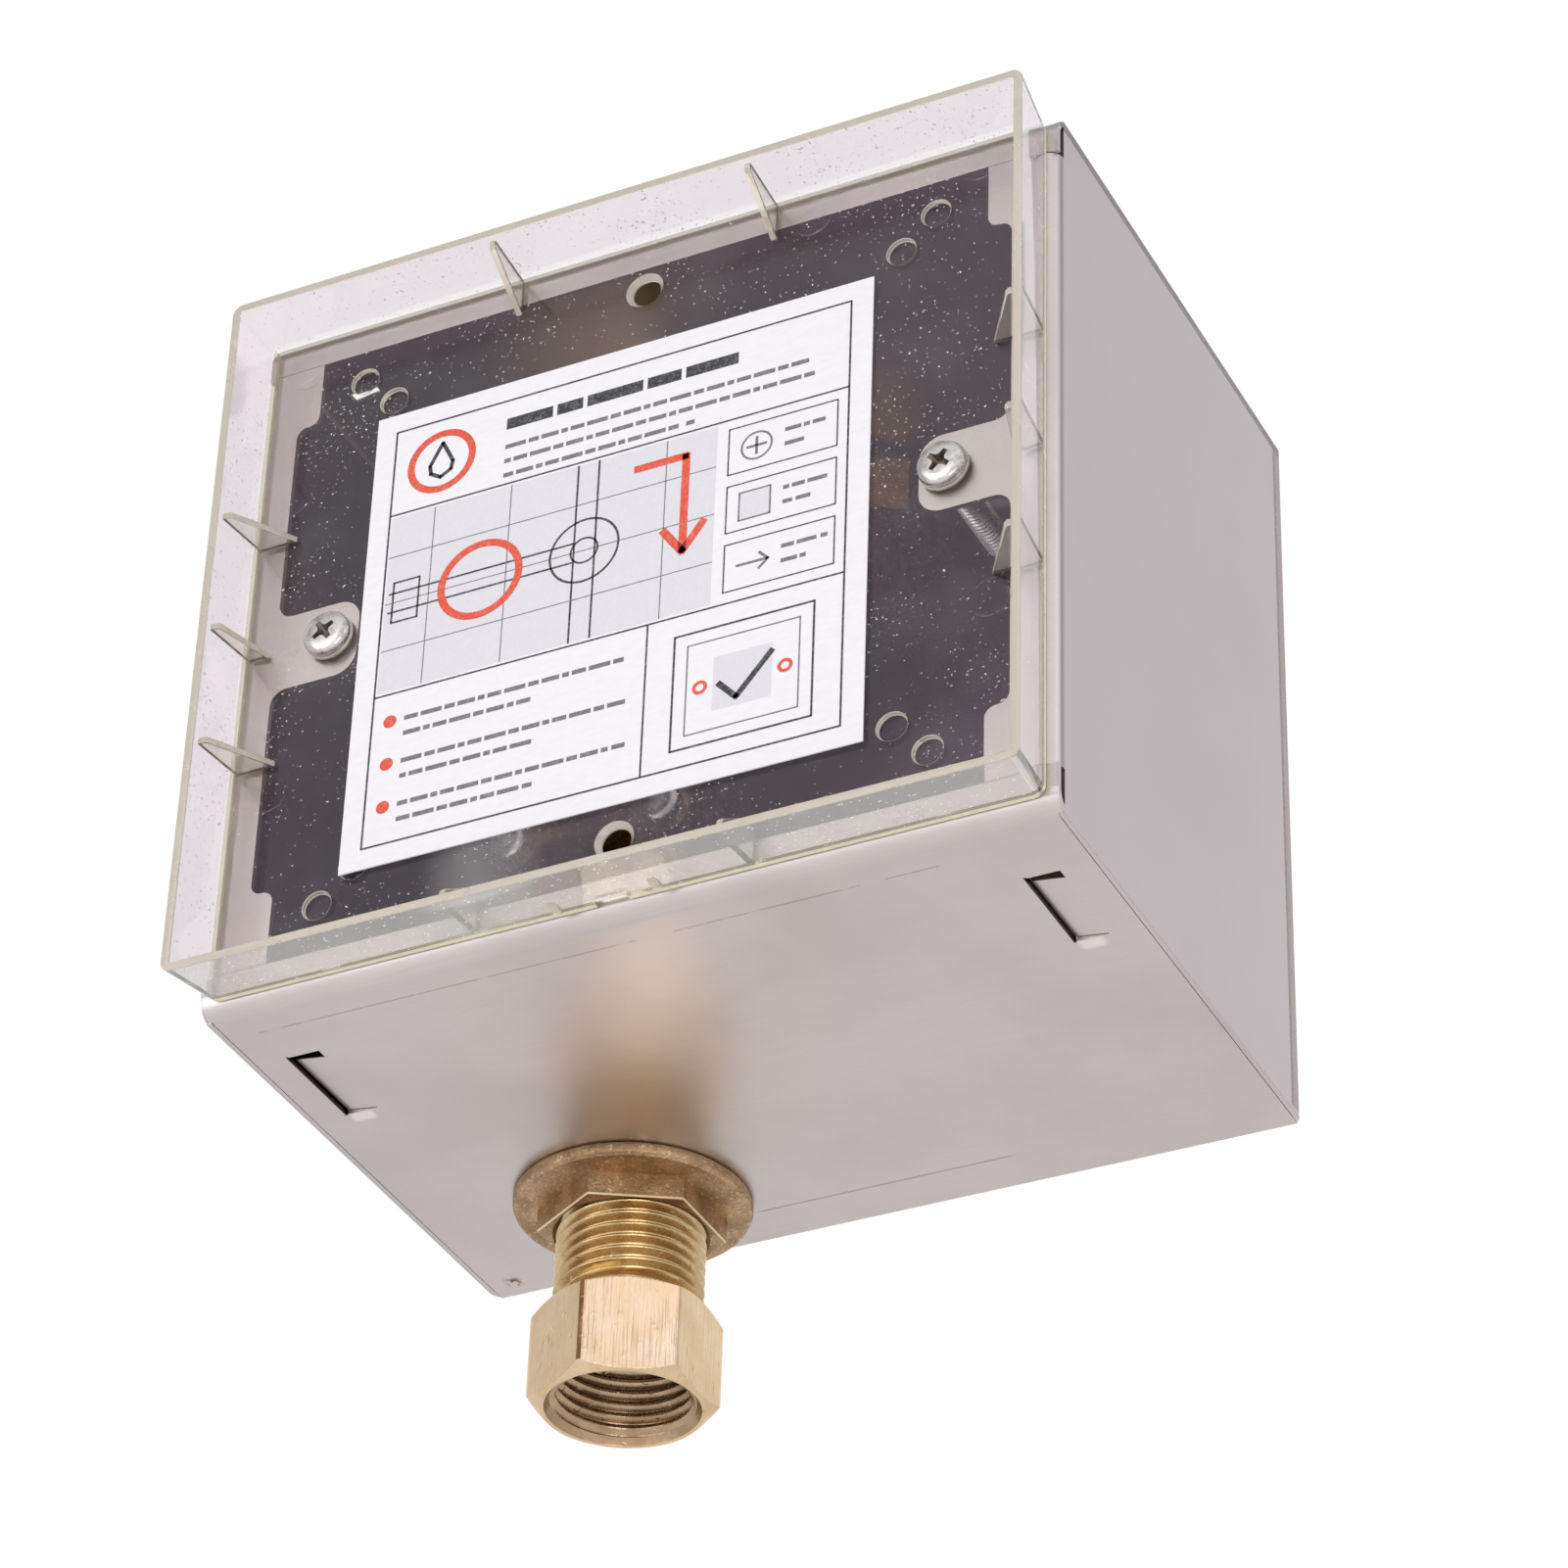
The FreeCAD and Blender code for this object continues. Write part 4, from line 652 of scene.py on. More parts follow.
@dataclass(frozen=True)
class SheetSteel(Finish):
    """Cold-rolled stainless sheet, lightly brushed: an even, soft grey mirror with faint handling marks."""

    name: str = "brushed_stainless_sheet"
    colour: str = "#D6CECC"
    dull: str = "#CBC3C1"
    # the next four colours are painted shade on the sides and their folds
    flank_shade: str = "#C9C0C4"
    fold: str = "#A79B99"
    crest: str = "#81777A"
    fold_line_shade: str = "#867C80"
    stain: str = "#7A5A38"
    # near-black brown: painted shade in the lance slots over the cut edges' heat tint
    cut_edge_and_slot_shade: str = "#33261F"
    # painted highlight on the dimple at each lance's back end
    bright: str = "#F6F1EF"
    scratch_and_crease_shade: str = "#6F6763"
    # painted shade of the box's inside
    inside: str = "#605769"
    lance: float = 53.9

    def paint(self, art: Pattern) -> dict:
        """Lays cloudy handling marks, brushing, weld stains and cut edges, with painted shade on the sides,
        folds, slots and inside and a painted highlight on the dimples.
        """
        clouds = art.ramp(art.noise(26, detail=4.0), 0.35, 0.7)
        art.coat(clouds, self.dull)
        # the two sides are smoother and painted a darker, more mauve tone than the bottom, a painted shade;
        # painted shade also darkens the folds at their back and top edges, with a darker painted line at the
        # back fold's front edge
        far = art.far(0)
        side = art.past(far, BOX_SIDE - 0.4, BOX_SIDE - 0.2)
        corner = art.both(art.past(far, BOX_SIDE - 2.4, BOX_SIDE - 2.2), art.band(2, 0.0, BOX_TOP - 0.5, 0.1))
        art.coat(side, self.flank_shade)
        art.coat(art.both(corner, art.past(art.place[1], -4.2, -3.7)), self.fold)
        art.coat(art.both(corner, art.band(1, -3.9, 0.2, 0.4)), self.fold_line_shade)
        art.coat(art.both(side, art.past(art.place[2], BOX_TOP - 1.7, BOX_TOP - 1.3)), self.crest)
        # brush lines are about 0.05 mm apart, drawn 0.35 mm apart so that they show
        grain = art.noise(0.35, (28, 1, 1), 2.0)
        art.coat(art.ramp(grain, 0.3, 0.7, 0.0, 0.3), self.dull)
        # weld stain at the back corner of the bottom; along the lances' slots and tips a near-black brown
        # stands for heat on the cut edges and paints the shade in the gaps
        speck = art.ramp(art.noise(1.1, detail=2.0), 0.44, 0.56)
        art.coat(art.both(art.band(0, -57.3, 0.3, 1.3), art.band(1, -3.4, 0.4, 1.4),
                          art.band(2, -BOX_TOP, 1.5, 0.5), speck), self.stain)
        for middle in (-self.lance, self.lance):
            slot = art.both(art.band(0, middle - 2.4, 0.12, 0.15), art.band(1, -61.1, 8.0, 0.3))
            tip = art.both(art.band(0, middle, 2.35, 0.1), art.band(1, -67.4, 0.12, 0.1))
            # painted highlight: the dimple at each lance's back end is painted bright
            dimple = art.both(art.band(0, middle - 0.4, 1.0, 1.4), art.band(1, -52.0, 0.4, 1.3),
                              art.band(2, 0.5 - BOX_TOP, 0.8, 0.2))
            art.coat(art.ramp(dimple, 0.0, 1.0, 0.0, 0.7), self.bright)
            art.coat(art.either(slot, tip), self.cut_edge_and_slot_shade)
        # painted shade: the sheet's inner side is painted a dark bluish grey, the shade inside the box
        art.coat(art.both(art.band(0, 0.0, BOX_SIDE - 0.7, 0.1), art.band(2, 0.0, BOX_TOP - 1.6, 0.1),
                          art.band(1, -40.9, 40.7, 0.1)), self.inside)
        # a scribed line where the fold begins, and a faint crease in the bottom painted as a darker line, a
        # painted shade
        low = art.band(2, -BOX_TOP, 0.3, 0.2)
        dashes = art.either(art.band(0, -28.4, 28.0, 0.4), art.band(0, 18.5, 13.0, 0.6),
                            art.band(0, 39.0, 3.5, 0.6))
        worn = art.ramp(art.noise(4), 0.34, 0.5, 0.25, 1.0)
        scribe = art.both(low, art.band(1, -76.0, 0.07, 0.14), dashes, worn)
        # painted shade: the crease is drawn as a darker line
        crease = art.both(low, art.band(1, -7.5, 0.1, 0.2), art.band(0, 3, 18, 3))
        art.coat(art.ramp(art.either(scribe, crease), 0.0, 1.0, 0.0, 0.4), self.scratch_and_crease_shade)
        art.bump(art.noise(18), 0.03, 0.2)
        art.bump(grain, 0.012, 0.35)
        return {"Metallic": 1.0, "Roughness": art.ramp(clouds, 0.0, 1.0, 0.35, 0.37)}


@dataclass(frozen=True)
class BarBrass(Finish):
    """Turned brass bar: bright gold with fine tool lines and brownish tarnish in the hollows."""

    name: str = "turned_bar_brass"
    colour: str = "#DDBB88"
    pale: str = "#F0D6AA"
    tarnish: str = "#94744A"
    axis: Sequence[float] = (1, 1, 60)
    lined: float = 0.45

    def paint(self, art: Pattern) -> dict:
        """Lays drawn lines along the bar, tarnish blotches and small nicks."""
        art.coat(art.ramp(art.noise(7, detail=5.0, rough=0.6), 0.36, 0.68), self.pale)
        # drawing lines of the bar, about 0.1 mm apart, drawn 0.15 mm apart, and a few deep scratches
        lines = art.noise(0.15, self.axis, 3.0, 0.7)
        patch = art.ramp(art.noise(13, detail=1.0), 0.42, 0.6, 0.2 * self.lined, self.lined)
        art.coat(art.both(art.ramp(lines, 0.48, 0.7), patch), self.tarnish)
        art.coat(art.ramp(art.noise(0.4, self.axis, 1.0), 0.69, 0.72, 0.0, self.lined), self.tarnish)
        art.coat(art.ramp(art.noise(1.4, (1, 1, 3), 6.0, 0.7), 0.6, 0.72, 0.0, 0.4), self.tarnish)
        art.bump(art.ramp(art.noise(1.6, detail=1.0), 0.66, 0.74), 0.05, 0.6)
        art.bump(lines, 0.02, 1.1 * self.lined)
        return {"Metallic": 1.0, "Roughness": art.ramp(lines, 0.3, 0.75, 0.16, 0.36)}


@dataclass(frozen=True)
class CastBrass(Finish):
    """Sand-cast brass: a grainy brown-gold skin that keeps the grit of the mould."""

    name: str = "sand_cast_brass"
    colour: str = "#C2A380"
    shade: str = "#9F8363"
    grit_mm: float = 0.42

    def paint(self, art: Pattern) -> dict:
        """Lays mould grit, blotches and pits."""
        art.coat(art.ramp(art.noise(5, detail=4.0), 0.36, 0.66), self.shade)
        grit = art.noise(self.grit_mm, rough=0.6)
        art.coat(art.ramp(art.noise(0.6, detail=2.0), 0.6, 0.68, 0.0, 0.55), "#EBD6B2")
        art.coat(art.ramp(grit, 0.52, 0.7, 0.0, 0.45), "#6F5336")
        art.bump(grit, 0.11, 0.8)
        return {"Metallic": 1.0, "Roughness": art.ramp(grit, 0.3, 0.7, 0.34, 0.56)}


@dataclass(frozen=True)
class MachinedSteel(Finish):
    """Turned or headed stainless: bright, with fine tool lines and small scratches."""

    name: str = "machined_stainless"
    colour: str = "#D2CFD2"
    shade: str = "#9D9A9E"
    rough: float = 0.2
    size_mm: float = 0.25

    def paint(self, art: Pattern) -> dict:
        """Lays scratches and dull spots."""
        fine = art.noise(self.size_mm, (1, 6, 1))
        art.coat(art.ramp(art.noise(1.3, detail=4.0), 0.45, 0.7, 0.0, 0.7), self.shade)
        art.bump(fine, 0.01, 0.4)
        return {"Metallic": 1.0, "Roughness": art.ramp(fine, 0.3, 0.7, self.rough - 0.05, self.rough + 0.1)}


@dataclass(frozen=True)
class ClearPlastic(Finish):
    """Moulded clear polystyrene under building dust: glassy, slightly hazy, yellowish where it is thick."""

    name: str = "clear_polystyrene"
    colour: str = "#F3ECF2"
    bottom: str = "#FCFAF9"
    sheen: str = "#F6E4FA"
    clear: float = 0.945
    rough: float = 0.03
    tint: str = "#F3EFC8"
    thickness: float = 6.0
    wobble: float = 1.0

    def paint(self, art: Pattern) -> dict:
        """Lays flow marks, dust and scratches, and the tint inside."""
        _, deep, high = art.place
        # the flat bottom is clearer than the walls, but carries the dust
        base = art.past(deep, -85.0, -84.2)
        art.coat(base, self.bottom)
        # the foot of the walls is painted cream and hazy, a painted glow of the light that leaves the walls at
        # the floor's outer edge, and the lower wall is hazy
        foot = art.either(art.past(art.far(0), 60.15, 60.25), art.ramp(high, -55.2 * MM, -55.1 * MM, 1.0, 0.0))
        foot = art.both(foot, art.past(deep, -84.5, -84.1))
        low = art.ramp(high, -55.2 * MM, -55.0 * MM, self.wobble, 0.0)
        art.coat(low, "#EEEFE9")
        art.coat(foot, "#F6EFD2")
        haze = art.either(art.ramp(low, 0.0, 1.0, 0.0, 0.26), art.ramp(foot, 0.0, 1.0, 0.0, 0.35))
        # dust specks of 0.1 to 0.3 mm, drawn 0.4 mm, and a film that is thinner in places
        patches = art.ramp(art.noise(16, detail=2.0), 0.4, 0.65, 0.05, 0.0)
        speck = add(art.tree, "ShaderNodeMath", {0: art.noise(0.55, detail=1.0), 1: patches},
                    operation="SUBTRACT")
        dust = art.ramp(speck.outputs[0], 0.675, 0.715, 0.0, 0.7 * self.wobble)
        film = art.ramp(art.noise(11, detail=4.0), 0.35, 0.75, self.clear + 0.01, self.clear - 0.01)
        film = add(art.tree, "ShaderNodeMath", {0: film, 1: art.ramp(base, 0.0, 1.0, 0.0, 0.05 * self.wobble)},
                   operation="ADD", use_clamp=True)
        # hair scratches about 0.1 mm wide, along two directions
        for stretch in ((60, 1, 2), (3, 1, 60)):
            hair = art.ramp(art.noise(14, stretch, 1.0), 0.69, 0.74, 0.0, 0.25 * self.wobble)
            dust = art.either(dust, hair)
        dull = add(art.tree, "ShaderNodeMath", {0: dust, 1: haze}, operation="ADD")
        clear = add(art.tree, "ShaderNodeMath", {0: film.outputs[0], 1: dull.outputs[0]}, operation="SUBTRACT",
                    use_clamp=True)
        art.bump(art.noise(9, (1, 2, 1), 2.0), 0.05, 0.15 * self.wobble)
        soak = add(art.tree, "ShaderNodeVolumeAbsorption",
                   {"Color": linear(self.tint), "Density": self.thickness})
        art.within = {"Volume": soak.outputs[0]}
        return {"IOR": 1.48, "Specular Tint": linear(self.sheen), "Transmission Weight": clear.outputs[0],
                "Roughness": art.ramp(art.noise(6), 0.4, 0.75, self.rough, self.rough * 2.5)}


@dataclass(frozen=True)
class Paper(Finish):
    """Coated white paper: smooth, faintly cloudy with its fibres; its back carries a painted glow for the
    light that shines through.
    """

    name: str = "coated_paper"
    colour: str = "#EDEBEF"
    shade: str = "#E1DEE4"
    middle_y: float = -83.7
    through: float = 0.25

    def paint(self, art: Pattern) -> dict:
        """Lays fibre clouds, and a painted glow on the back."""
        fibres = art.noise(0.7, (3, 1, 1), 4.0)
        art.coat(art.ramp(fibres, 0.35, 0.7, 0.0, 0.25), self.shade)
        art.bump(fibres, 0.002, 0.08)
        # painted glow: an emission on the back of the paper stands for the light shining through
        back, front = (self.middle_y - 0.05) * MM, (self.middle_y + 0.05) * MM
        back_glow = art.ramp(art.place[1], back, front, 0.0, self.through)
        return {"Roughness": 0.42, "Emission Color": linear(self.colour), "Emission Strength": back_glow}


@dataclass(frozen=True)
class PrintInk(Finish):
    """Offset ink on coated paper: a flat tone broken up by the paper's grain."""

    name: str = "ink"
    colour: str = "#2B2A2E"

    def paint(self, art: Pattern) -> dict:
        """Lays the ink's grain."""
        art.coat(art.ramp(art.noise(0.4), 0.4, 0.8, 0.0, 0.16), "#F3F1F6")
        return {"Roughness": 0.5}


@dataclass(frozen=True)
class Rubber(Finish):
    """Moulded nitrile rubber: matt black with a little bloom."""

    name: str = "nitrile_rubber"
    colour: str = "#1E1D1F"
    bloom: str = "#3A383A"

    def paint(self, art: Pattern) -> dict:
        """Lays bloom and a fine mould grain."""
        bloom = art.ramp(art.noise(3, detail=5.0), 0.45, 0.75)
        art.coat(bloom, self.bloom)
        art.bump(art.noise(0.3, detail=2.0), 0.02, 0.5)
        return {"Roughness": art.ramp(bloom, 0.0, 1.0, 0.5, 0.75)}


@dataclass(frozen=True)
class MouldedPlastic(Finish):
    """Moulded engineering plastic with a fine spark-eroded grain."""

    name: str = "moulded_plastic"
    colour: str = "#1F1F22"
    shade: str = "#2C2C30"
    winding: bool = False

    def paint(self, art: Pattern) -> dict:
        """Lays the mould's grain, and on a coil the rows of wire under its sleeve."""
        clouds = art.ramp(art.noise(4, detail=4.0), 0.35, 0.7)
        art.coat(clouds, self.shade)
        art.bump(art.noise(0.25, detail=2.0), 0.02, 0.5)
        if self.winding:
            # wire of 0.3 mm shows through the sleeve, drawn 0.6 mm apart
            rows = add(art.tree, "ShaderNodeTexWave",
                       {"Vector": art.where, "Scale": 1 / (0.6 * MM) / 20, "Distortion": 0.6},
                       wave_type="BANDS", bands_direction="Y")
            art.bump(rows.outputs["Fac"], 0.05, 0.5)
        return {"Roughness": art.ramp(clouds, 0.0, 1.0, 0.36, 0.5)}


@dataclass(frozen=True)
class PaleFloor(Finish):
    """Matt pale board: almost even, and plain where the camera sees it."""

    name: str = "pale_floor"
    colour: str = "#FCFBFB"

    def paint(self, art: Pattern) -> dict:
        """Lays a faint grain."""
        art.coat(art.ramp(art.noise(40), 0.3, 0.7), "#F8F7F7")
        art.coat(add(art.tree, "ShaderNodeLightPath").outputs["Is Camera Ray"], "#FBFBFB")
        return {"Roughness": 0.9}


class Finishes:
    """All finishes of the object, each made once."""

    def __init__(self) -> None:
        """Makes the materials."""
        self.sheet = SheetSteel().made()
        self.bar = BarBrass(colour="#E2C39A", pale="#EED4B0", lined=0.12).made()
        # one flat of each hexagon is a much paler brass: a painted highlight, over real draw lines
        self.drawn = BarBrass("drawn_brass_flat_highlight", "#FFE4C0", "#FFF0DA", "#A8845A", lined=0.6).made()
        self.thread = BarBrass("cut_brass_thread", "#C8AA7C", "#E2CB9E", "#765A36", lined=0.3).made()
        self.bore = BarBrass("dull_brass_bore", "#AC9072", "#C8AE8F", "#6A4E34", lined=0.2).made()
        self.bar_across = BarBrass("turned_brass_across", axis=(1, 60, 1)).made()
        self.cast = CastBrass().made()
        self.casting = CastBrass("sand_cast_body", "#A98454", "#7C5B38").made()
        self.screw = MachinedSteel(colour="#D6D2D0", rough=0.26).made()
        # the cross recess of the cover screws is painted dark brown
        self.recess = MachinedSteel("dark_brown_recess", "#8A7E76", "#4E443D", 0.5).made()
        self.turned = MachinedSteel("turned_stainless", "#BDBABD", rough=0.26).made()
        self.wire = MachinedSteel("drawn_spring_wire", "#A9A8AA", "#77757A", 0.3).made()
        self.clear = ClearPlastic().made()
        # painted glow: a whiter, half-clear finish on the tray's rim, edges, hole walls, rings and nubs stands
        # for light leaving the plastic there
        self.frosted_glow = ClearPlastic("frosted_glowing_polystyrene_edge", "#F6EEDF", "#F6EEDF", clear=0.5, rough=0.16,
                                    wobble=0.0).made()
        self.milky = ClearPlastic("milky_polystyrene_rib", "#F9F6EF", "#F9F6EF", clear=0.86, rough=0.1,
                                  wobble=0.0).made()
        self.paper = Paper().made()
        self.rubber = Rubber().made()
        self.acetal = MouldedPlastic("white_acetal", "#E0DED6", "#CFCCC2").made()
        self.coil = MouldedPlastic("coil_nylon", winding=True).made()


# Sub-assemblies


@dataclass
class Assembly:
    """A sub-assembly of the object; made() builds its meshes and dresses them."""

    finishes: Finishes

    def made(self) -> None:
        """Builds the sub-assembly."""
        raise NotImplementedError


@dataclass
class SheetBox(Assembly):
    """The stainless box: back and sides in one sheet, folded top and bottom."""

    nodes: tuple[str, ...] = ("box_wrapper", "top_panel", "bottom_panel")

    def made(self) -> None:
        """Gives the box its sheet finish."""
        dress(self.finishes.sheet, *self.nodes)


@dataclass
class PipeFitting(Assembly):
    """Hexagon socket with a long male pipe thread, its flanged lock nut and its gasket, in mm."""

    name: str
    x: float
    up: bool
    major: float = 10.4775       # crest and root radius and pitch of a G 1/2 thread
    minor: float = 9.3155
    pitch: float = 1.814
    bore: float = 6.5
    inside: float = 9.2          # how far the thread reaches into the box
    stub: float = 18.2           # from the box to the hexagon
    groove: float = 9.5          # run-out groove, radius and length
    groove_len: float = 1.3
    across: float = 23.0         # hexagon over its flats
    socket: float = 14.2         # length of the hexagon
    chamfer: float = 30.0        # slope of its end chamfers in degrees
    tapped: float = 11.4         # depth of the inside thread
    tap_rest: float = 0.35       # how much shallower the inside thread is
    mouth: float = 10.2          # radius of the chamfered mouth
    disc: float = 16.75          # flange of the lock nut, radius and thickness
    disc_t: float = 1.9
    nut_across: float = 22.9     # hexagon of the lock nut, width and length
    nut_t: float = 3.75
    gasket: float = 14.5         # gasket, outer and inner radius and thickness
    gasket_hole: float = 10.85
    gasket_t: float = 1.5

    @property
    def place(self) -> Matrix:
        """From the fitting's own axis, which grows away from the box, to the object's frame."""
        side = 1 if self.up else -1
        return Matrix.Translation((self.x, PIPE_Y, side * BOX_TOP)) @ (Matrix.Identity(4) if self.up else DOWN)

    def limit(self, height: float) -> float:
        """Works out the lead chamfer inside the box and the run-out before the hexagon.

        Args:
            height: Height on the fitting's axis.

        Returns:
            Largest radius of the male thread there.
        """
        lead = self.minor + (height + self.inside) * 1.1
        end = self.stub - self.groove_len - 0.7
        run_out = self.major - max(0.0, height - end) * (self.major - self.groove) / 0.7
        return max(self.groove if height > end else self.minor, min(self.major, lead, run_out))

    def male_thread(self) -> Shell:
        """Makes the threaded stub as a tube that ends inside the hexagon.

        Returns:
            The closed shell.
        """
        neck = self.stub - self.groove_len
        bm = Thread(self.minor, self.major, self.pitch).skin(-self.inside, neck, self.limit)
        inner = carry_on(bm, rim(bm, -self.inside), self.bore, -self.inside)
        outer = carry_on(bm, rim(bm, neck), self.groove, neck + 0.1)
        outer = carry_on(bm, outer, self.groove, self.stub + 0.4)
        outer = carry_on(bm, outer, self.bore, self.stub + 0.4)
        bmesh.ops.bridge_loops(bm, edges=inner + outer)
        bmesh.ops.recalc_face_normals(bm, faces=bm.faces)
        return bm

    def sloped(self, low: float, high: float) -> list[tuple[float, float]]:
        """Lists the turned profile from the hexagon's side over its upper chamfer to its end face.

        Args:
            low: Height where the side starts.
            high: Height of the end face.

        Returns:
            Pairs of radius and height; the chamfer has a ring every 0.1 mm of height.
        """
        far = blank(self.across)
        rise = math.tan(math.radians(self.chamfer))
        drop = rise * (far - self.across / 2 + 0.1)
        rings = max(3, round(drop / 0.1))
        slope = [(far - drop / rings * i / rise, high - drop + drop / rings * i) for i in range(rings + 1)]
        return [(far, low)] + slope + [(slope[-1][0] - 0.35, high)]

    def hex_socket(self) -> Shell:
        """Makes the hexagon socket with its inside thread and chamfered mouth.

        Returns:
            The closed shell.
        """
        low, high = self.stub, self.stub + self.socket
        middle = (low + high) / 2
        upper = self.sloped(middle, high)
        lower = [(r, 2 * middle - z) for r, z in reversed(upper[1:])]
        bm = hexed(lathe([(0, low)] + lower + upper + [(0, high)], steps=240), self.across, 160, 400)
        floor = high - self.tapped
        deep = self.minor - self.bore

        def wall(height: float) -> float:
            """Widest radius of the inside thread at a height."""
            return max(self.minor, min(self.major, self.minor + (height - floor) * 0.8))

        tap = Thread(self.minor, self.major - self.tap_rest, self.pitch).rod(floor, high + 1, wall)
        bm = carved(bm, marked(tap))
        bm = carved(bm, marked(lathe([(0, low - 1), (self.bore, low - 1), (self.bore, floor - deep / 2),
                                      (self.minor, floor + 0.05), (0, floor + 0.05)])))
        lip = self.mouth + 0.6
        bm = carved(bm, marked(lathe([(0, high - 1.0), (lip - 0.75, high - 1.0), (lip - 0.05, high - 0.1),
                                      (lip, high + 0.02), (lip, high + 1), (0, high + 1)], steps=144)))
        # draw lines show on one flat, whose paler brass is also a painted highlight, and the saw has left a
        # rough line down its corner
        front = Vector((0.5, math.sin(math.radians(60)), 0.0))
        marked(bm, 2, lambda f: f.normal.dot(front) > 0.97
               and f.calc_center_median().xy.length > self.across * 0.48)
        return marked(bm, 4, lambda f: abs(f.normal.z) < 0.3 and f.calc_center_median().y > self.across * 0.57)

    def lock_nut(self) -> Shell:
        """Makes the cast lock nut: a soft-edged flange under a hexagon.

        Returns:
            The closed shell.
        """
        r, t = self.disc, self.disc_t
        top, hole = t + self.nut_t, self.major + 0.03
        far = blank(self.nut_across)
        hexa = [(far + 0.6, t + 0.03), (far + 0.15, t + 0.16), (far, t + 0.5), (far, top - 0.2), (far, top)]
        bm = lathe([(hole, 0), (r - 0.5, 0), (r - 0.1, 0.25), (r, 0.6), (r, t - 0.8), (r - 0.22, t - 0.3),
                    (r - 0.75, t)] + hexa + [(hole + 0.45, top), (hole, top - 0.45)], steps=240, closed=True)
        hexed(bm, self.nut_across, 220, 500, t + 0.1)
        hexed(bm, self.nut_across - 0.4, 220, 500, top - 0.02)
        # handling has polished the rim of the end face
        return marked(bm, 1, lambda f: max(v.co.z for v in f.verts) > top - 0.01 > min(v.co.z for v in f.verts)
                      and f.calc_center_median().xy.length > hole + 0.3)

    def washer(self) -> Shell:
        """Makes the rubber gasket inside the box, its edges pressed round.

        Returns:
            The closed shell.
        """
        r, hole, top, low = self.gasket, self.gasket_hole, -SHEET, -SHEET - self.gasket_t
        return lathe([(hole, low + 0.3), (hole + 0.25, low), (r - 0.3, low), (r - 0.05, low + 0.35),
                      (r, (top + low) / 2), (r - 0.05, top - 0.35), (r - 0.3, top), (hole + 0.25, top),
                      (hole, top - 0.3)], steps=72, closed=True)

    def made(self) -> None:
        """Builds the fitting's three pieces and dresses them."""
        body = joined(self.hex_socket(), marked(self.male_thread(), 3))
        look = self.finishes
        skins = (look.bar, look.bore, look.drawn, look.thread, look.casting)
        finished(body, f"{self.name}_socket", skins, "box", self.place,
                 [f"{self.name}_fitting"], smooth=28)
        finished(self.lock_nut(), f"{self.name}_nut", (look.cast, look.bar), "box",
                 self.place, [f"{self.name}_lock_nut"], smooth=24)
        finished(self.washer(), f"{self.name}_washer", look.rubber, "box", self.place,
                 [f"{self.name}_gasket"])


@dataclass
class CoverScrew(Assembly):
    """Pan-head machine screw with a cross recess, in mm from under its head."""

    side: str
    x: float
    head: float = 3.5
    head_t: float = 1.6
    length: float = 20.0
    major: float = 2.0
    minor: float = 1.58
    pitch: float = 0.7
    recess: float = 1.15  # depth of the cross
    turned: float = 34.0  # turn of the cross in degrees
    tray: float = 1.6     # what lies between head and flange

    def limit(self, height: float) -> float:
        """Largest radius of the thread at a height, with a pointed start at the tip."""
        return max(1.25, min(self.major, 1.3 + (height + self.length) * 0.9))

    def crossed_head(self) -> Shell:
        """Makes the pan head with its cross recess.

        Returns:
            The closed shell.
        """
        r, t = self.head, self.head_t
        bm = lathe([(0, 0), (r - 0.15, 0), (r, 0.16), (r, 0.62), (r - 0.1, 0.95), (r - 0.34, 1.24),
                    (r - 0.75, 1.45), (r - 1.4, t - 0.04), (0, t)], steps=72)
        quarter = ((2.15, 0.46), (0.95, 0.58), (0.58, 0.95), (0.46, 2.15))
        turns = ((1, 0), (0, 1), (-1, 0), (0, -1))
        outline = [(x * c - y * d, x * d + y * c) for c, d in turns for x, y in quarter]
        cross = plate(outline, 1.6)
        low = [v for v in cross.verts if v.co.z < 0.5]
        bmesh.ops.scale(cross, verts=low, vec=(0.42, 0.42, 1.0))
        turn = Matrix.Rotation(math.radians(self.turned), 4, "Z")
        place = Matrix.Translation((0, 0, t - self.recess)) @ turn
        bmesh.ops.transform(cross, verts=cross.verts, matrix=place)
        # the walls of the cross recess get the dark brown recess finish
        return carved(bm, marked(cross))

    def made(self) -> None:
        """Builds the screw and dresses it."""
        shank = Thread(self.minor, self.major, self.pitch, 36).rod(-self.length, 0.1, self.limit)
        bm = joined(self.crossed_head(), shank)
        skins = (self.finishes.screw, self.finishes.recess)
        finished(bm, f"cover_screw_{self.side}_cross", skins,
                 f"{self.side}_screw", ahead(self.x, FLANGE_Y - self.tray, 0),
                 [f"cover_screw_{self.side}"], smooth=30)


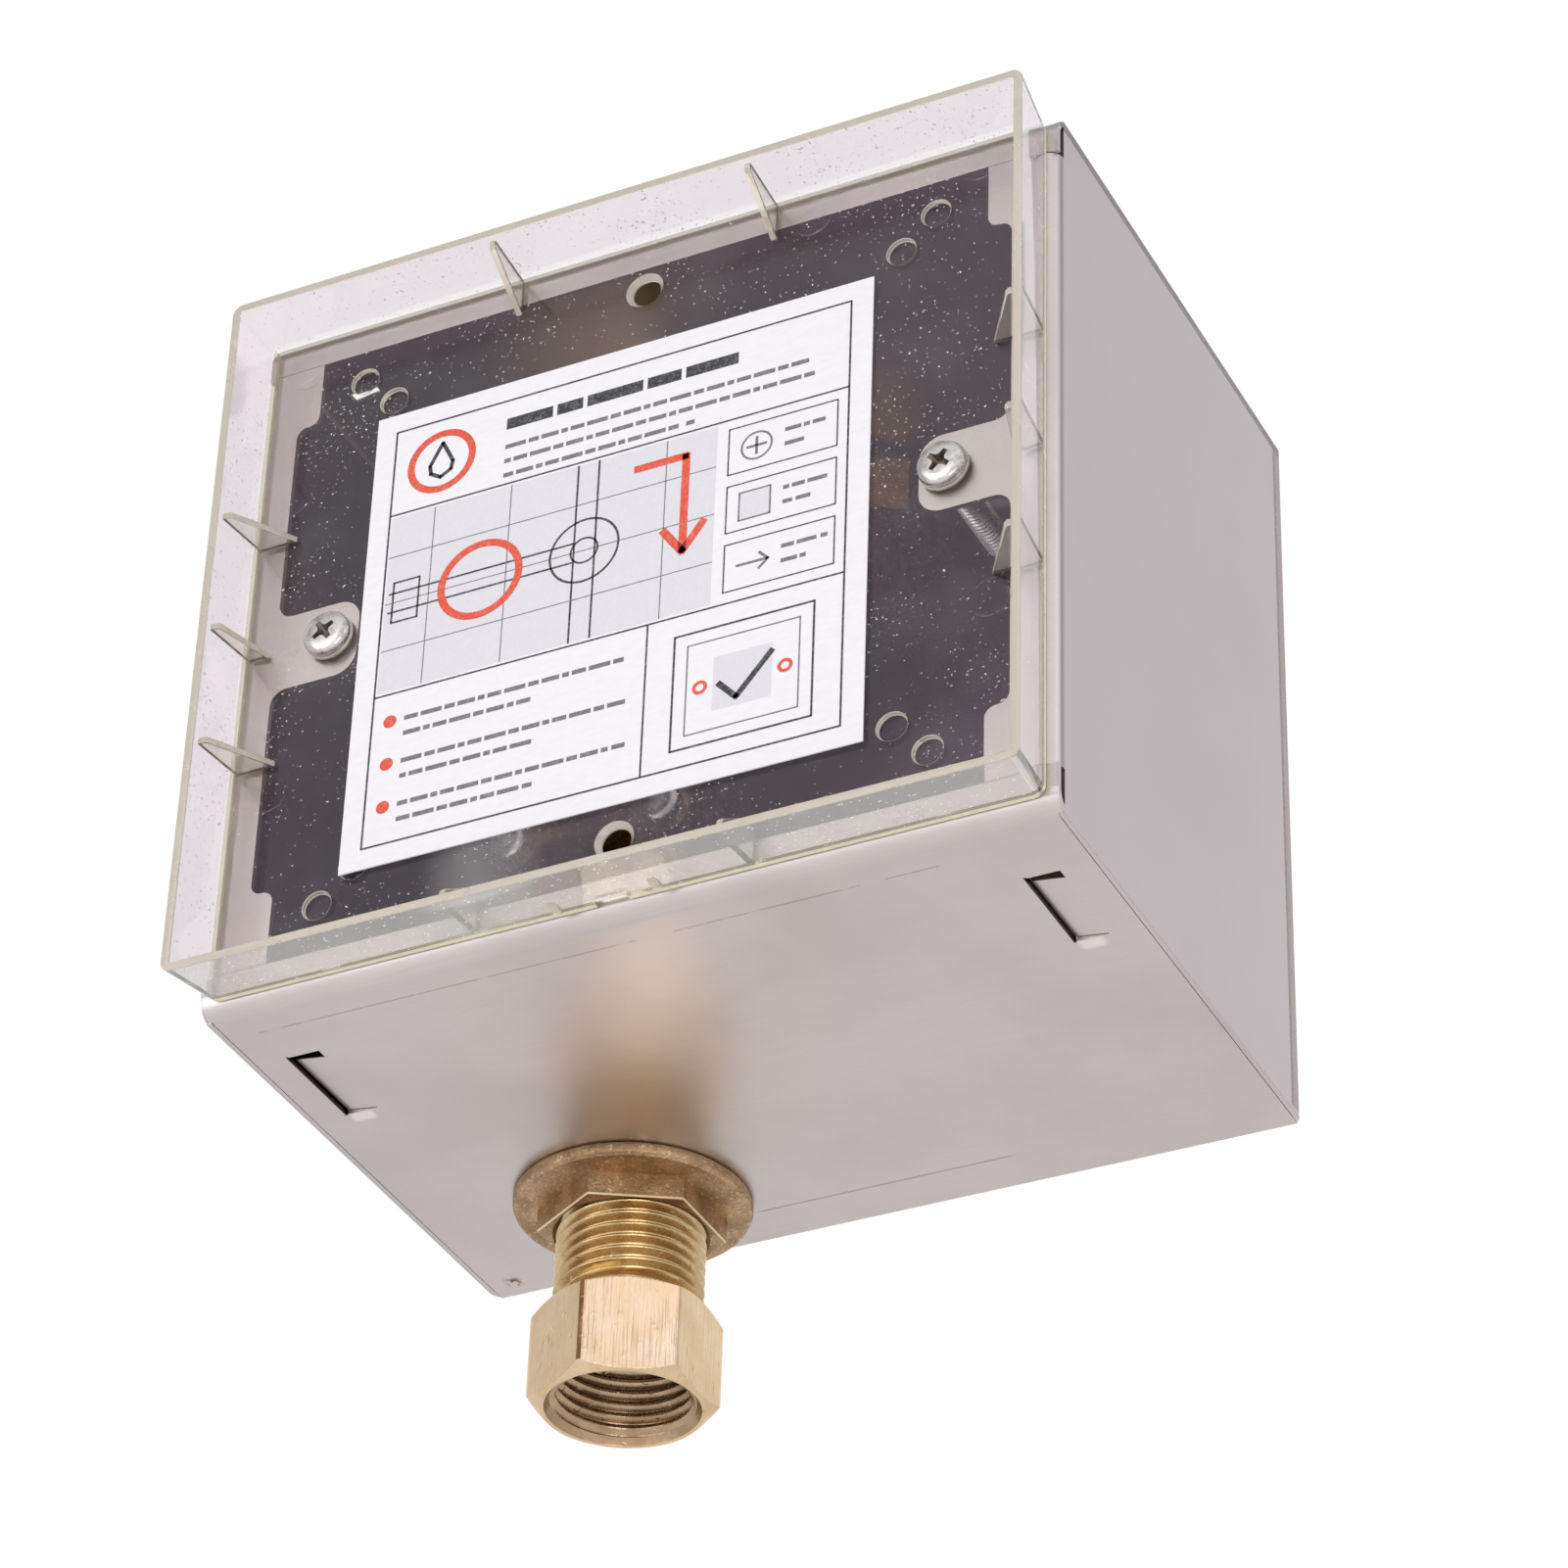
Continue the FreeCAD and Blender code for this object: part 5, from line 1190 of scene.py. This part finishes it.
@dataclass
class BonnetScrews(Assembly):
    """The four socket-head screws of the bonnet, in mm from under their heads."""

    pitch: float = 12.15  # from the valve's axis, across and up
    head: float = 3.1
    head_t: float = 2.2
    key: float = 2.9      # key socket over its flats, and its depth
    deep: float = 1.3
    shank: float = 1.7
    length: float = 10.5
    seat_y: float = -35.0

    def made(self) -> None:
        """Builds the four screws as one piece and dresses it."""
        shells = []
        r, t, thin, long = self.head, self.head_t, self.shank, self.length
        for across in (-1, 1):
            for up in (-1, 1):
                bm = lathe([(0, -long), (thin - 0.3, -long), (thin, 0.3 - long), (thin, 0), (r - 0.1, 0),
                            (r, 0.12), (r, t - 0.7), (r - 0.2, t - 0.25), (r - 0.65, t), (0, t)], steps=40)
                key = lathe([(0, t - self.deep), (2.2, t - self.deep), (2.2, t + 1), (0, t + 1)], steps=36)
                bm = carved(bm, hexed(key, self.key, 90, 90))
                place = ahead(OUTLET_X + across * self.pitch, self.seat_y, VALVE_Z + up * self.pitch)
                bmesh.ops.transform(bm, verts=bm.verts, matrix=place)
                shells.append(bm)
        finished(joined(*shells), "bonnet_screw_set", self.finishes.screw, "box", None,
                 ["bonnet_screws"])


@dataclass
class Seals(Assembly):
    """The rubber pieces inside the valve, each turned about its own axis, in mm."""

    diaphragm_y: float = -25.0
    plunger_y: float = -36.8
    cap_y: float = -36.0
    disc_y: float = -26.1

    def piece(self, name: str, profile: Outline, face_y: float, z: float, body: str,
              node: str, closed: bool = False) -> bpy.types.Object:
        """Builds one rubber piece.

        Args:
            name: Name of the piece.
            profile: Pairs of radius and distance in front of face_y.
            face_y: Where the profile starts, from the back face.
            z: Height of its axis.
            body: The body that it rides on.
            node: The node that it replaces.
            closed: Whether the profile is a ring's.

        Returns:
            The piece.
        """
        return finished(lathe(profile, 72, closed), name, self.finishes.rubber, body,
                        ahead(OUTLET_X, face_y, z), [node], smooth=40)

    def made(self) -> None:
        """Builds the diaphragm and the three seals."""
        skin = self.piece("diaphragm_rubber", [
            (0, 0), (7.2, 0), (7.7, 0.12), (8.2, 0.7), (9.5, 3.1), (10.0, 3.8), (10.4, 3.98), (10.4, 5.5),
            (9.6, 5.5), (9.15, 5.2), (8.6, 4.3), (7.7, 1.6), (7.4, 1.2), (7.0, 1.1), (0, 1.1)],
            self.diaphragm_y, VALVE_Z, "box", "diaphragm")
        # the clamped rim is a ring of its own, which keeps its thickness
        self.piece("diaphragm_rim", [
            (10.35, 4.0), (12.4, 4.0), (12.6, 4.2), (12.6, 5.3), (12.4, 5.5), (10.35, 5.5)],
            self.diaphragm_y, VALVE_Z, "box", "diaphragm", closed=True)
        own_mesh(skin)
        self.piece("plunger_rubber", [
            (0, 2.6), (2.35, 2.6), (2.35, 1.9), (2.3, 1.8), (2.0, 0.2), (1.8, 0.02), (0, 0)],
            self.plunger_y, VALVE_Z, "plunger", "plunger_seal")
        self.piece("cap_washer", [
            (9.55, 0.2), (9.8, 0), (11.05, 0), (11.25, 0.25), (11.3, 0.5), (11.25, 0.75), (11.05, 1.0),
            (9.8, 1.0), (9.55, 0.8)], self.cap_y, STOP_Z, "cap", "cap_gasket", closed=True)
        self.piece("disc_rubber", [
            (0, 1.2), (6.4, 1.2), (6.35, 0.6), (6.2, 0.15), (6.0, 0), (0, 0)],
            self.disc_y, STOP_Z, "stop_disc", "disc_facing")


class Ink(Enum):
    """The four inks of the printed sheet: colour, and how far each stands off the paper in mm."""

    TINT = ("#D9D6DD", 0.02)
    GREY = ("#6E6C73", 0.035)
    BLACK = ("#2B2A2E", 0.04)
    RED = ("#DC4A2C", 0.05)


@dataclass
class PrintedSheet(Assembly):
    """The sheet's print: frames, ruled lines in place of text, and simple pictures, in mm from its middle."""

    x: float = -3.0
    z: float = -2.2
    face_y: float = -83.8
    half: float = 35.2
    inks: dict = field(default_factory=dict)

    def onto(self, ink: Ink, shell: Shell) -> None:
        """Adds a closed shell to an ink."""
        self.inks[ink] = joined(self.inks[ink], shell) if ink in self.inks else shell

    def bar(self, ink: Ink, u: float, v: float, wide: float, high: float, turn: float = 0.0) -> None:
        """Prints a bar.

        Args:
            ink: Its ink.
            u: Its middle, across.
            v: Its middle, up.
            wide: Its width.
            high: Its height.
            turn: Its turn in degrees.
        """
        lift = ink.value[1]
        place = Matrix.Translation((u, v, lift / 2)) @ Matrix.Rotation(math.radians(turn), 4, "Z")
        self.onto(ink, boxed((wide, high, lift), place))

    def stroke(self, ink: Ink, points: Outline, line: float = 0.3) -> None:
        """Prints a line through points.

        Args:
            ink: Its ink.
            points: The points, across and up.
            line: Its width.
        """
        for (u0, v0), (u1, v1) in zip(points, points[1:]):
            long = math.hypot(u1 - u0, v1 - v0)
            self.bar(ink, (u0 + u1) / 2, (v0 + v1) / 2, long + line * 0.6, line,
                     math.degrees(math.atan2(v1 - v0, u1 - u0)))

    def ring(self, ink: Ink, u: float, v: float, radius: float, line: float = 0.0) -> None:
        """Prints a ring or a disc.

        Args:
            ink: Its ink.
            u: Its middle, across.
            v: Its middle, up.
            radius: Its outer radius.
            line: Width of the ring; 0 makes a disc.
        """
        lift = ink.value[1]
        inner = radius - line
        profile = [(inner, 0), (radius, 0), (radius, lift), (inner, lift)] if line else \
            [(0, 0), (radius, 0), (radius, lift), (0, lift)]
        self.onto(ink, lathe(profile, 40, bool(line), (u, v)))

    def frame(self, ink: Ink, left: float, low: float, right: float, high: float, line: float = 0.25) -> None:
        """Prints the four sides of a frame."""
        self.stroke(ink, [(left, low), (right, low), (right, high), (left, high), (left, low)], line)

    def ruled(self, u: float, v: float, wide: float, rows: int, gap: float, tall: float, seed: int) -> None:
        """Prints rows of short dashes that stand for text.

        Args:
            u: Left end.
            v: First row.
            wide: Longest row.
            rows: How many rows.
            gap: From row to row.
            tall: Height of a dash.
            seed: Picks the dashes' lengths.
        """
        for row in range(rows):
            at = u
            end = u + wide * (1.0 if row < rows - 1 else 0.6)
            step = seed + row * 3
            while at < end - tall:
                long = tall * (1.0 + (step * 7 % 5) * 0.55)
                self.bar(Ink.GREY, at + long / 2, v - row * gap, min(long, end - at), tall * 0.72)
                at += long + tall * 0.45
                step += 1

    def heading(self) -> None:
        """Rules the sheet and prints its heading: a drop in a ring, a title and rows beside it."""
        half, rule = self.half, 0.26
        self.frame(Ink.BLACK, -half, -half, half, half, 0.28)
        for v in (20.4, -10.6):
            self.bar(Ink.BLACK, 0, v, 2 * half, rule)
        self.bar(Ink.BLACK, 6.4, -22.9, rule, 24.6)
        self.ring(Ink.RED, -27.6, 27.8, 5.4, 1.1)
        self.stroke(Ink.BLACK, [(-27.6, 31.0), (-29.4, 27.4), (-29.2, 26.0), (-27.6, 25.0), (-26.0, 26.0),
                                (-25.8, 27.4), (-27.6, 31.0)], 0.6)
        for at, long in ((-17.5, 7.2), (-9.6, 4.0), (-4.9, 8.6), (4.4, 5.2), (10.3, 8.0)):
            self.bar(Ink.BLACK, at + long / 2, 31.0, long, 1.9)
        self.ruled(-17.5, 27.0, 48, 3, 2.5, 1.0, 2)

    def picture(self) -> None:
        """Prints the picture: a tiled wall, a pipe run with a round valve, and red marks."""
        u0, v0, wide, high = -9.6, 4.9, 50.4, 30.0
        self.bar(Ink.TINT, u0, v0, wide, high)
        for v in (-3.0, 5.0, 13.0):
            self.bar(Ink.GREY, u0, v, wide, 0.16)
        for u in (-28.0, -16.0, 8.0):
            self.bar(Ink.GREY, u, v0, 0.16, high)
        for off in (-1.6, 1.6):
            self.bar(Ink.BLACK, -4.0 + off, v0, 0.3, high)
            self.bar(Ink.BLACK, -20.0, 5.0 + off, 28.6, 0.3)
        self.ring(Ink.BLACK, -4.0, 5.0, 5.4, 0.35)
        self.ring(Ink.BLACK, -4.0, 5.0, 2.2, 0.3)
        self.frame(Ink.BLACK, -33.6, 1.6, -29.6, 8.4, 0.3)
        self.stroke(Ink.RED, [(3.4, 16.4), (11.0, 16.4), (11.0, 0.6)], 1.2)
        self.stroke(Ink.RED, [(8.0, 4.4), (11.0, 0.2), (14.0, 4.4)], 1.2)
        self.ring(Ink.RED, -20.0, 5.0, 6.6, 1.15)

    def signs(self) -> None:
        """Prints three small signs beside the picture, each with two rows."""
        high, middle, low = rows = (14.8, 5.0, -4.8)
        u = 21.6
        for v in rows:
            self.frame(Ink.BLACK, 17.4, v - 3.9, 33.6, v + 3.9, 0.2)
        self.ring(Ink.GREY, u, high, 2.4, 0.3)
        self.stroke(Ink.GREY, [(u - 1.4, high), (u + 1.4, high)], 0.4)
        self.stroke(Ink.GREY, [(u, high - 1.4), (u, high + 1.4)], 0.4)
        self.bar(Ink.TINT, u, middle, 4.6, 4.6)
        self.frame(Ink.GREY, u - 2.3, middle - 2.3, u + 2.3, middle + 2.3, 0.25)
        self.stroke(Ink.GREY, [(u - 2.3, low), (u + 2.3, low)], 0.4)
        self.stroke(Ink.GREY, [(u + 1.0, low - 1.3), (u + 2.3, low), (u + 1.0, low + 1.3)], 0.4)
        for v in rows:
            self.ruled(25.8, v + 1.3, 6.6, 2, 2.4, 0.9, int(v) % 5)

    def notes(self) -> None:
        """Prints bullets with rows of dashes, and a plan of the box with its two screws."""
        for row in range(3):
            v = -15.2 - row * 7.0
            self.ring(Ink.RED, -32.4, v, 1.0)
            self.ruled(-30.2, v, 34, 2, 2.5, 1.0, row + 1)
        self.frame(Ink.BLACK, 10.6, -32.4, 31.0, -14.0, 0.3)
        self.frame(Ink.GREY, 12.6, -30.4, 29.0, -16.0, 0.2)
        for u in (14.6, 27.0):
            self.ring(Ink.RED, u, -23.2, 1.1, 0.5)
        self.bar(Ink.TINT, 20.8, -23.2, 8.6, 8.6)
        self.stroke(Ink.BLACK, [(17.4, -23.4), (20.0, -26.2), (25.0, -20.2)], 0.9)

    def made(self) -> None:
        """Builds the print, one piece for each ink, and dresses the paper under it."""
        dress(self.finishes.paper, "label_sheet")
        for part in (self.heading, self.picture, self.signs, self.notes):
            part()
        place = ahead(self.x, self.face_y, self.z)
        for ink, shell in self.inks.items():
            name = f"print_{ink.name.lower()}"
            finished(shell, name, PrintInk(f"{name}_ink", ink.value[0]).made(), "cover", place)


@dataclass
class Tray(Assembly):
    """The clear tray that keeps the box clean on site, in mm; local Z points out of the box's mouth."""

    back_w: float = 60.4     # half the width and height at the floor
    back_h: float = 55.35
    flare: float = 1.15      # how much wider the rim is
    deep: float = 10.9
    gap: float = 0.06        # from the flange to the floor
    wall: float = 1.3
    floor: float = 1.1
    corner: float = 1.6
    rib: float = 1.0         # thickness of a rib, and how far the ribs reach in
    reach: float = 6.2
    mid_reach: float = 3.2
    side_ribs: float = 19.1  # places of the ribs, from the middle of a wall
    end_ribs: float = 19.9
    screw_x: float = 46.3    # screw holes with their raised rings
    ring: float = 3.6
    hole: float = 2.4
    spare: float = 46.1      # spare countersunk holes
    spare_r: float = 2.15
    sink_r: float = 2.9
    pocket_r: float = 2.15   # blind pockets, on the diagonals
    pockets: tuple[float, float] = (44.5, 39.4)
    nub_x: float = 7.2
    nub_size: tuple[float, float, float] = (1.2, 0.9, 2.4)
    notch: tuple[float, float, float] = (4.8, 4.0, 2.6)
    marks: tuple[tuple[float, float], ...] = ((-55.0, 50.4), (-54.8, 26.6), (-53.9, -23.9), (25.7, 50.2),
                                              (50.8, 51.2), (53.0, -23.0))

    def pan(self) -> Shell:
        """Makes the bare tray: a flaring box, hollowed from the front, with its edges eased.

        Returns:
            The closed shell.
        """
        bm = bmesh.new()
        bmesh.ops.create_cube(bm, size=2.0)
        front = [v for v in bm.verts if v.co.z > 0]
        for vert in bm.verts:
            more, z = (self.flare, self.deep) if vert.co.z > 0 else (0.0, self.gap)
            x, y = math.copysign(self.back_w + more, vert.co.x), math.copysign(self.back_h + more, vert.co.y)
            vert.co = (x, y, z)
        upright = [e for e in bm.edges if (e.verts[0] in front) != (e.verts[1] in front)]
        bmesh.ops.bevel(bm, geom=upright, offset=self.corner, affect="EDGES", segments=6, profile=0.5,
                        material=-1)
        mouth = [f for f in bm.faces if all(abs(v.co.z - self.deep) < 1e-3 for v in f.verts)]
        bmesh.ops.inset_region(bm, faces=mouth, thickness=self.wall, use_even_offset=True)
        down = bmesh.ops.extrude_face_region(bm, geom=mouth)["geom"]
        bmesh.ops.delete(bm, geom=mouth, context="FACES")
        low = [g for g in down if isinstance(g, Vert)]
        lean = self.flare * (self.deep - self.floor) / self.deep
        for vert in low:
            vert.co.x -= math.copysign(lean, vert.co.x)
            vert.co.y -= math.copysign(lean, vert.co.y)
            vert.co.z = self.floor
        bmesh.ops.recalc_face_normals(bm, faces=bm.faces)
        soften(bm, 0.16, lambda e: e.is_convex)
        bmesh.ops.bisect_plane(bm, geom=bm.verts[:] + bm.edges[:] + bm.faces[:], dist=1e-5,
                               plane_co=(0, 0, self.floor - 0.08), plane_no=(0, 0, 1))
        # a whiter, half-clear finish at the rim and at the floor's outer edge paints the glow of light that is
        # caught in the walls and leaves them there
        return marked(bm, 1, lambda f: min(v.co.z for v in f.verts) > self.deep - 0.3 or
                      max(v.co.z for v in f.verts) < self.floor and abs(f.normal.z) < 0.95)

    def gusset(self, reach: float, along: float, turn: float, far: float) -> Shell:
        """Makes one three-cornered rib.

        Args:
            reach: Its width at the tray's floor.
            along: Its place along the wall.
            turn: Which wall it stands on, in degrees.
            far: Distance of that wall's inner face from the middle, at the floor.

        Returns:
            The closed rib.
        """
        half, top = self.wall / 2, self.deep - 1.0
        bm = plate([(-half - 0.9, top), (0.1, top), (0.55, top - 0.35), (reach - 0.35, self.floor + 0.15),
                    (reach - 0.1, self.floor - 0.5), (-half, self.floor - 0.5)], self.rib)
        soften(bm, 0.2)
        place = Matrix.Rotation(math.radians(turn), 4, "Z") @ Matrix.Translation((-far, along, 0)) \
            @ Matrix.Rotation(math.radians(90), 4, "X") @ Matrix.Translation((0, 0, -self.rib / 2))
        marked(marked(bm, 2), 1, lambda f: abs(f.normal.z) < 0.9)
        bmesh.ops.transform(bm, verts=bm.verts, matrix=place)
        return bm

    def nub(self, x: float) -> Shell:
        """Makes one small snap nub under the lower wall.

        Args:
            x: Its place along the wall.

        Returns:
            The closed nub.
        """
        middle = 3.0
        bm = boxed(self.nub_size, Matrix.Translation((x, -self.back_h - 0.55, middle)))
        for vert in bm.verts:
            if vert.co.y < -self.back_h - 0.6 and vert.co.z > middle:
                vert.co.y += 0.6
        soften(bm, 0.12)
        return marked(bm)

    def cuts(self) -> Shell:
        """Makes what is taken out of the tray: holes, countersinks, blind pockets and the drain notch.

        Returns:
            The closed shells, in one mesh.
        """
        shells = []

        def hole(x: float, y: float, profile: Outline) -> None:
            """Adds one turned cut at a place."""
            shells.append(marked(lathe(profile, 48, at=(x, y)), 1, lambda f: abs(f.normal.z) < 0.95))

        top = self.floor
        for side in (-1, 1):
            hole(side * self.screw_x, 0, [(0, -1), (self.hole, -1), (self.hole, 3), (0, 3)])
            sink = self.sink_r - self.spare_r
            hole(0, side * self.spare, [(0, -1), (self.spare_r, -1), (self.spare_r, top - sink),
                                        (self.sink_r + 0.1, top + 0.1), (self.sink_r + 0.1, 3), (0, 3)])
            r = self.pocket_r
            pocket = [(0, top - 0.6), (r - 0.15, top - 0.6), (r, top - 0.45), (r, top - 0.14),
                      (r + 0.14, top + 0.01), (r + 0.2, 3), (0, 3)]
            for up in (-1, 1):
                for spot in self.pockets:
                    hole(side * spot, up * spot, pocket)
        shells.append(marked(boxed(self.notch, Matrix.Translation((0, -self.back_h, 0.3)))))
        return joined(*shells)

    def made(self) -> None:
        """Builds the tray and dresses it."""
        inner_w, inner_h = self.back_w - self.wall + 0.12, self.back_h - self.wall + 0.12
        extras = []
        for turn in (0, 180):
            for along in (-self.side_ribs, self.side_ribs):
                extras.append(self.gusset(self.reach, along, turn, inner_w))
            extras.append(self.gusset(self.mid_reach, 0, turn, inner_w))
        for turn in (90, 270):
            for along in (-self.end_ribs, self.end_ribs):
                extras.append(self.gusset(self.reach, along, turn, inner_h))
        extras += [self.nub(x) for x in (-self.nub_x, self.nub_x)]
        for side in (-1, 1):
            top = self.floor + 0.45
            extras.append(marked(lathe([(0, 0.5), (self.ring, 0.5), (self.ring, top - 0.12),
                                        (self.ring - 0.12, top), (0, top)], at=(side * self.screw_x, 0))))
        for x, y in self.marks:
            # ejector marks stand 0.05 mm proud
            extras.append(lathe([(0, 0.6), (3.0, 0.6), (3.0, self.floor + 0.02), (2.9, self.floor + 0.05),
                                 (2.6, self.floor + 0.02), (0, self.floor + 0.02)], 48, at=(x, y)))
        bm = carved(carved(self.pan(), joined(*extras), "UNION"), self.cuts())
        skins = (self.finishes.clear, self.finishes.frosted_glow, self.finishes.milky)
        finished(bm, "clear_tray", skins, "cover", ahead(0, FLANGE_Y, 0), ["cover_tray"],
                 smooth=14)


@dataclass
class Spring(Assembly):
    """Open-coil spring on the valve's axis, in mm."""

    node: str
    joint: str
    radius: float
    wire: float
    turns: float
    back_y: float
    length: float
    lift: float

    def made(self) -> None:
        """Builds the spring as one wire."""
        per_turn, sides = 28, 10
        bm = bmesh.new()
        around = (math.tau * i / sides for i in range(sides))
        thick = self.wire / 2
        line = strung(bm, [(self.radius + thick * math.cos(a), 0, thick * (1 + math.sin(a))) for a in around],
                      closed=True)
        steps = round(self.turns * per_turn)
        spun(bm, line, steps, self.turns, (self.length - self.wire) / steps)
        bmesh.ops.holes_fill(bm, edges=[edge for edge in bm.edges if edge.is_boundary], sides=0)
        bmesh.ops.recalc_face_normals(bm, faces=bm.faces)
        piece = finished(bm, f"{self.node}_wire", self.finishes.wire, "box",
                         ahead(OUTLET_X, self.back_y, VALVE_Z), [self.node], smooth=50)
        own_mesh(piece)


@dataclass
class Valve(Assembly):
    """The valve's own metal and plastic pieces, which keep their shape."""

    def made(self) -> None:
        """Gives each piece of the valve its finish."""
        look = self.finishes
        dress(look.casting, "valve_body", "bonnet")
        dress(look.bar_across, "coil_nut", "strainer_cap", "stop_spindle", "stop_disc")
        dress(look.turned, "guide_tube", "plunger", "strainer_screen")
        dress(look.acetal, "diaphragm_plate")
        dress(look.coil, "coil")


@dataclass
class Studio:
    """Camera, lamps, world and floor."""

    eye: tuple[float, float, float] = (0.2808, -0.5839, -0.4337)
    azimuth: float = -27.14
    elevation: float = 34.72
    roll: float = 1.97
    lens: float = 123.16
    floor_z: float = -0.62
    floor_half: float = 6.0
    fill: float = 0.8

    def camera(self) -> None:
        """Makes the camera at the photograph's place and angle."""
        az, el, roll = (math.radians(a) for a in (self.azimuth, self.elevation, self.roll))
        view = Vector((math.sin(az) * math.cos(el), math.cos(az) * math.cos(el), math.sin(el)))
        right = Vector((math.cos(az), -math.sin(az), 0))
        up = right.cross(view)
        side = right * math.cos(roll) + up * math.sin(roll)
        top = up * math.cos(roll) - right * math.sin(roll)
        data = bpy.data.cameras.new("camera")
        data.sensor_width, data.lens, data.clip_start, data.clip_end = 36.0, self.lens, 0.01, 20.0
        camera = shown("camera", data)
        camera.matrix_world = Matrix.Translation(self.eye) @ Matrix((side, top, -view)).transposed().to_4x4()
        bpy.context.scene.camera = camera

    def lamp(self, name: str, spot: Sequence[float], size: Sequence[float], watts: float) -> None:
        """Adds a soft area lamp that faces the object.

        Args:
            name: Its name.
            spot: Where it stands, in metres.
            size: Its width and height.
            watts: Its power.
        """
        data = bpy.data.lights.new(name, "AREA")
        data.shape, data.size, data.size_y, data.energy = "RECTANGLE", size[0], size[1], watts
        lamp = shown(name, data)
        lamp.location = spot
        lamp.rotation_euler = (-Vector(spot)).to_track_quat("-Z", "Y").to_euler()
        lamp.visible_camera = False

    def world(self) -> None:
        """Makes a white surround: plain white where it is seen, a softer room where it lights."""
        world = bpy.data.worlds.new("studio")
        bpy.context.scene.world = world
        tree = bare(world)
        path = add(tree, "ShaderNodeLightPath").outputs
        art = Pattern(tree, add(tree, "ShaderNodeTexCoord").outputs["Generated"])
        # metal sees a bright wall in front and behind, and a dimmer room at both sides
        axis = Vector((0.456, -0.890, 0.0))
        along = add(tree, "ShaderNodeVectorMath", {0: art.where, 1: axis}, operation="DOT_PRODUCT")
        along = add(tree, "ShaderNodeMath", {0: along.outputs["Value"]}, operation="ABSOLUTE")
        room = art.ramp(along.outputs[0], 0.12, 0.62, 0.44, 1.0)
        lit = add(tree, "ShaderNodeMix", {0: path["Is Glossy Ray"], 2: self.fill, 3: room}).outputs[0]
        seen = art.either(path["Is Camera Ray"], path["Is Transmission Ray"])
        level = add(tree, "ShaderNodeMix", {0: seen, 2: lit, 3: 1.0}).outputs[0]
        sky = add(tree, "ShaderNodeBackground", {"Color": (1, 1, 1, 1), "Strength": level})
        add(tree, "ShaderNodeOutputWorld", {"Surface": sky.outputs[0]})

    def floor(self) -> None:
        """Makes the pale floor far below the object, which keeps its shadow."""
        bm = bmesh.new()
        bmesh.ops.create_grid(bm, x_segments=8, y_segments=8, size=self.floor_half)
        bmesh.ops.translate(bm, verts=bm.verts, vec=(0, 0, self.floor_z))
        mesh = bpy.data.meshes.new("floor")
        bm.to_mesh(mesh)
        bm.free()
        mesh.materials.append(PaleFloor().made())
        floor = shown("floor", mesh)

    def made(self) -> None:
        """Sets the studio up."""
        bpy.context.scene.view_settings.view_transform = "Standard"
        self.camera()
        self.world()
        self.floor()
        self.lamp("front_softbox", (-0.5, -1.25, 0.05), (1.1, 1.1), 4.5)
        self.lamp("low_softbox", (0.6, -0.9, -0.5), (0.6, 0.6), 2.0)
        self.lamp("right_softbox", (1.3, -0.2, 0.5), (0.8, 0.8), 1.1)


def main() -> None:
    """Builds and dresses the object, then the studio round it."""
    Studio().made()
    finishes = Finishes()
    assemblies = (
        SheetBox(finishes),
        Valve(finishes),
        PipeFitting(finishes, "outlet", OUTLET_X, up=False),
        PipeFitting(finishes, "inlet", 0.0, up=True),
        CoverScrew(finishes, "left", -46.3),
        CoverScrew(finishes, "right", 46.3, turned=52.0),
        BonnetScrews(finishes),
        Seals(finishes),
        Spring(finishes, "diaphragm_spring", "diaphragm_lift", radius=4.4, wire=0.7, turns=2.5, back_y=-28.7,
               length=5.6, lift=2.4),
        Spring(finishes, "plunger_spring", "plunger_lift", radius=1.4, wire=0.45, turns=7.0, back_y=-45.4,
               length=6.5, lift=1.2),
        PrintedSheet(finishes),
        Tray(finishes),
    )
    for assembly in assemblies:
        assembly.made()


if __name__ == "__main__":
    main()
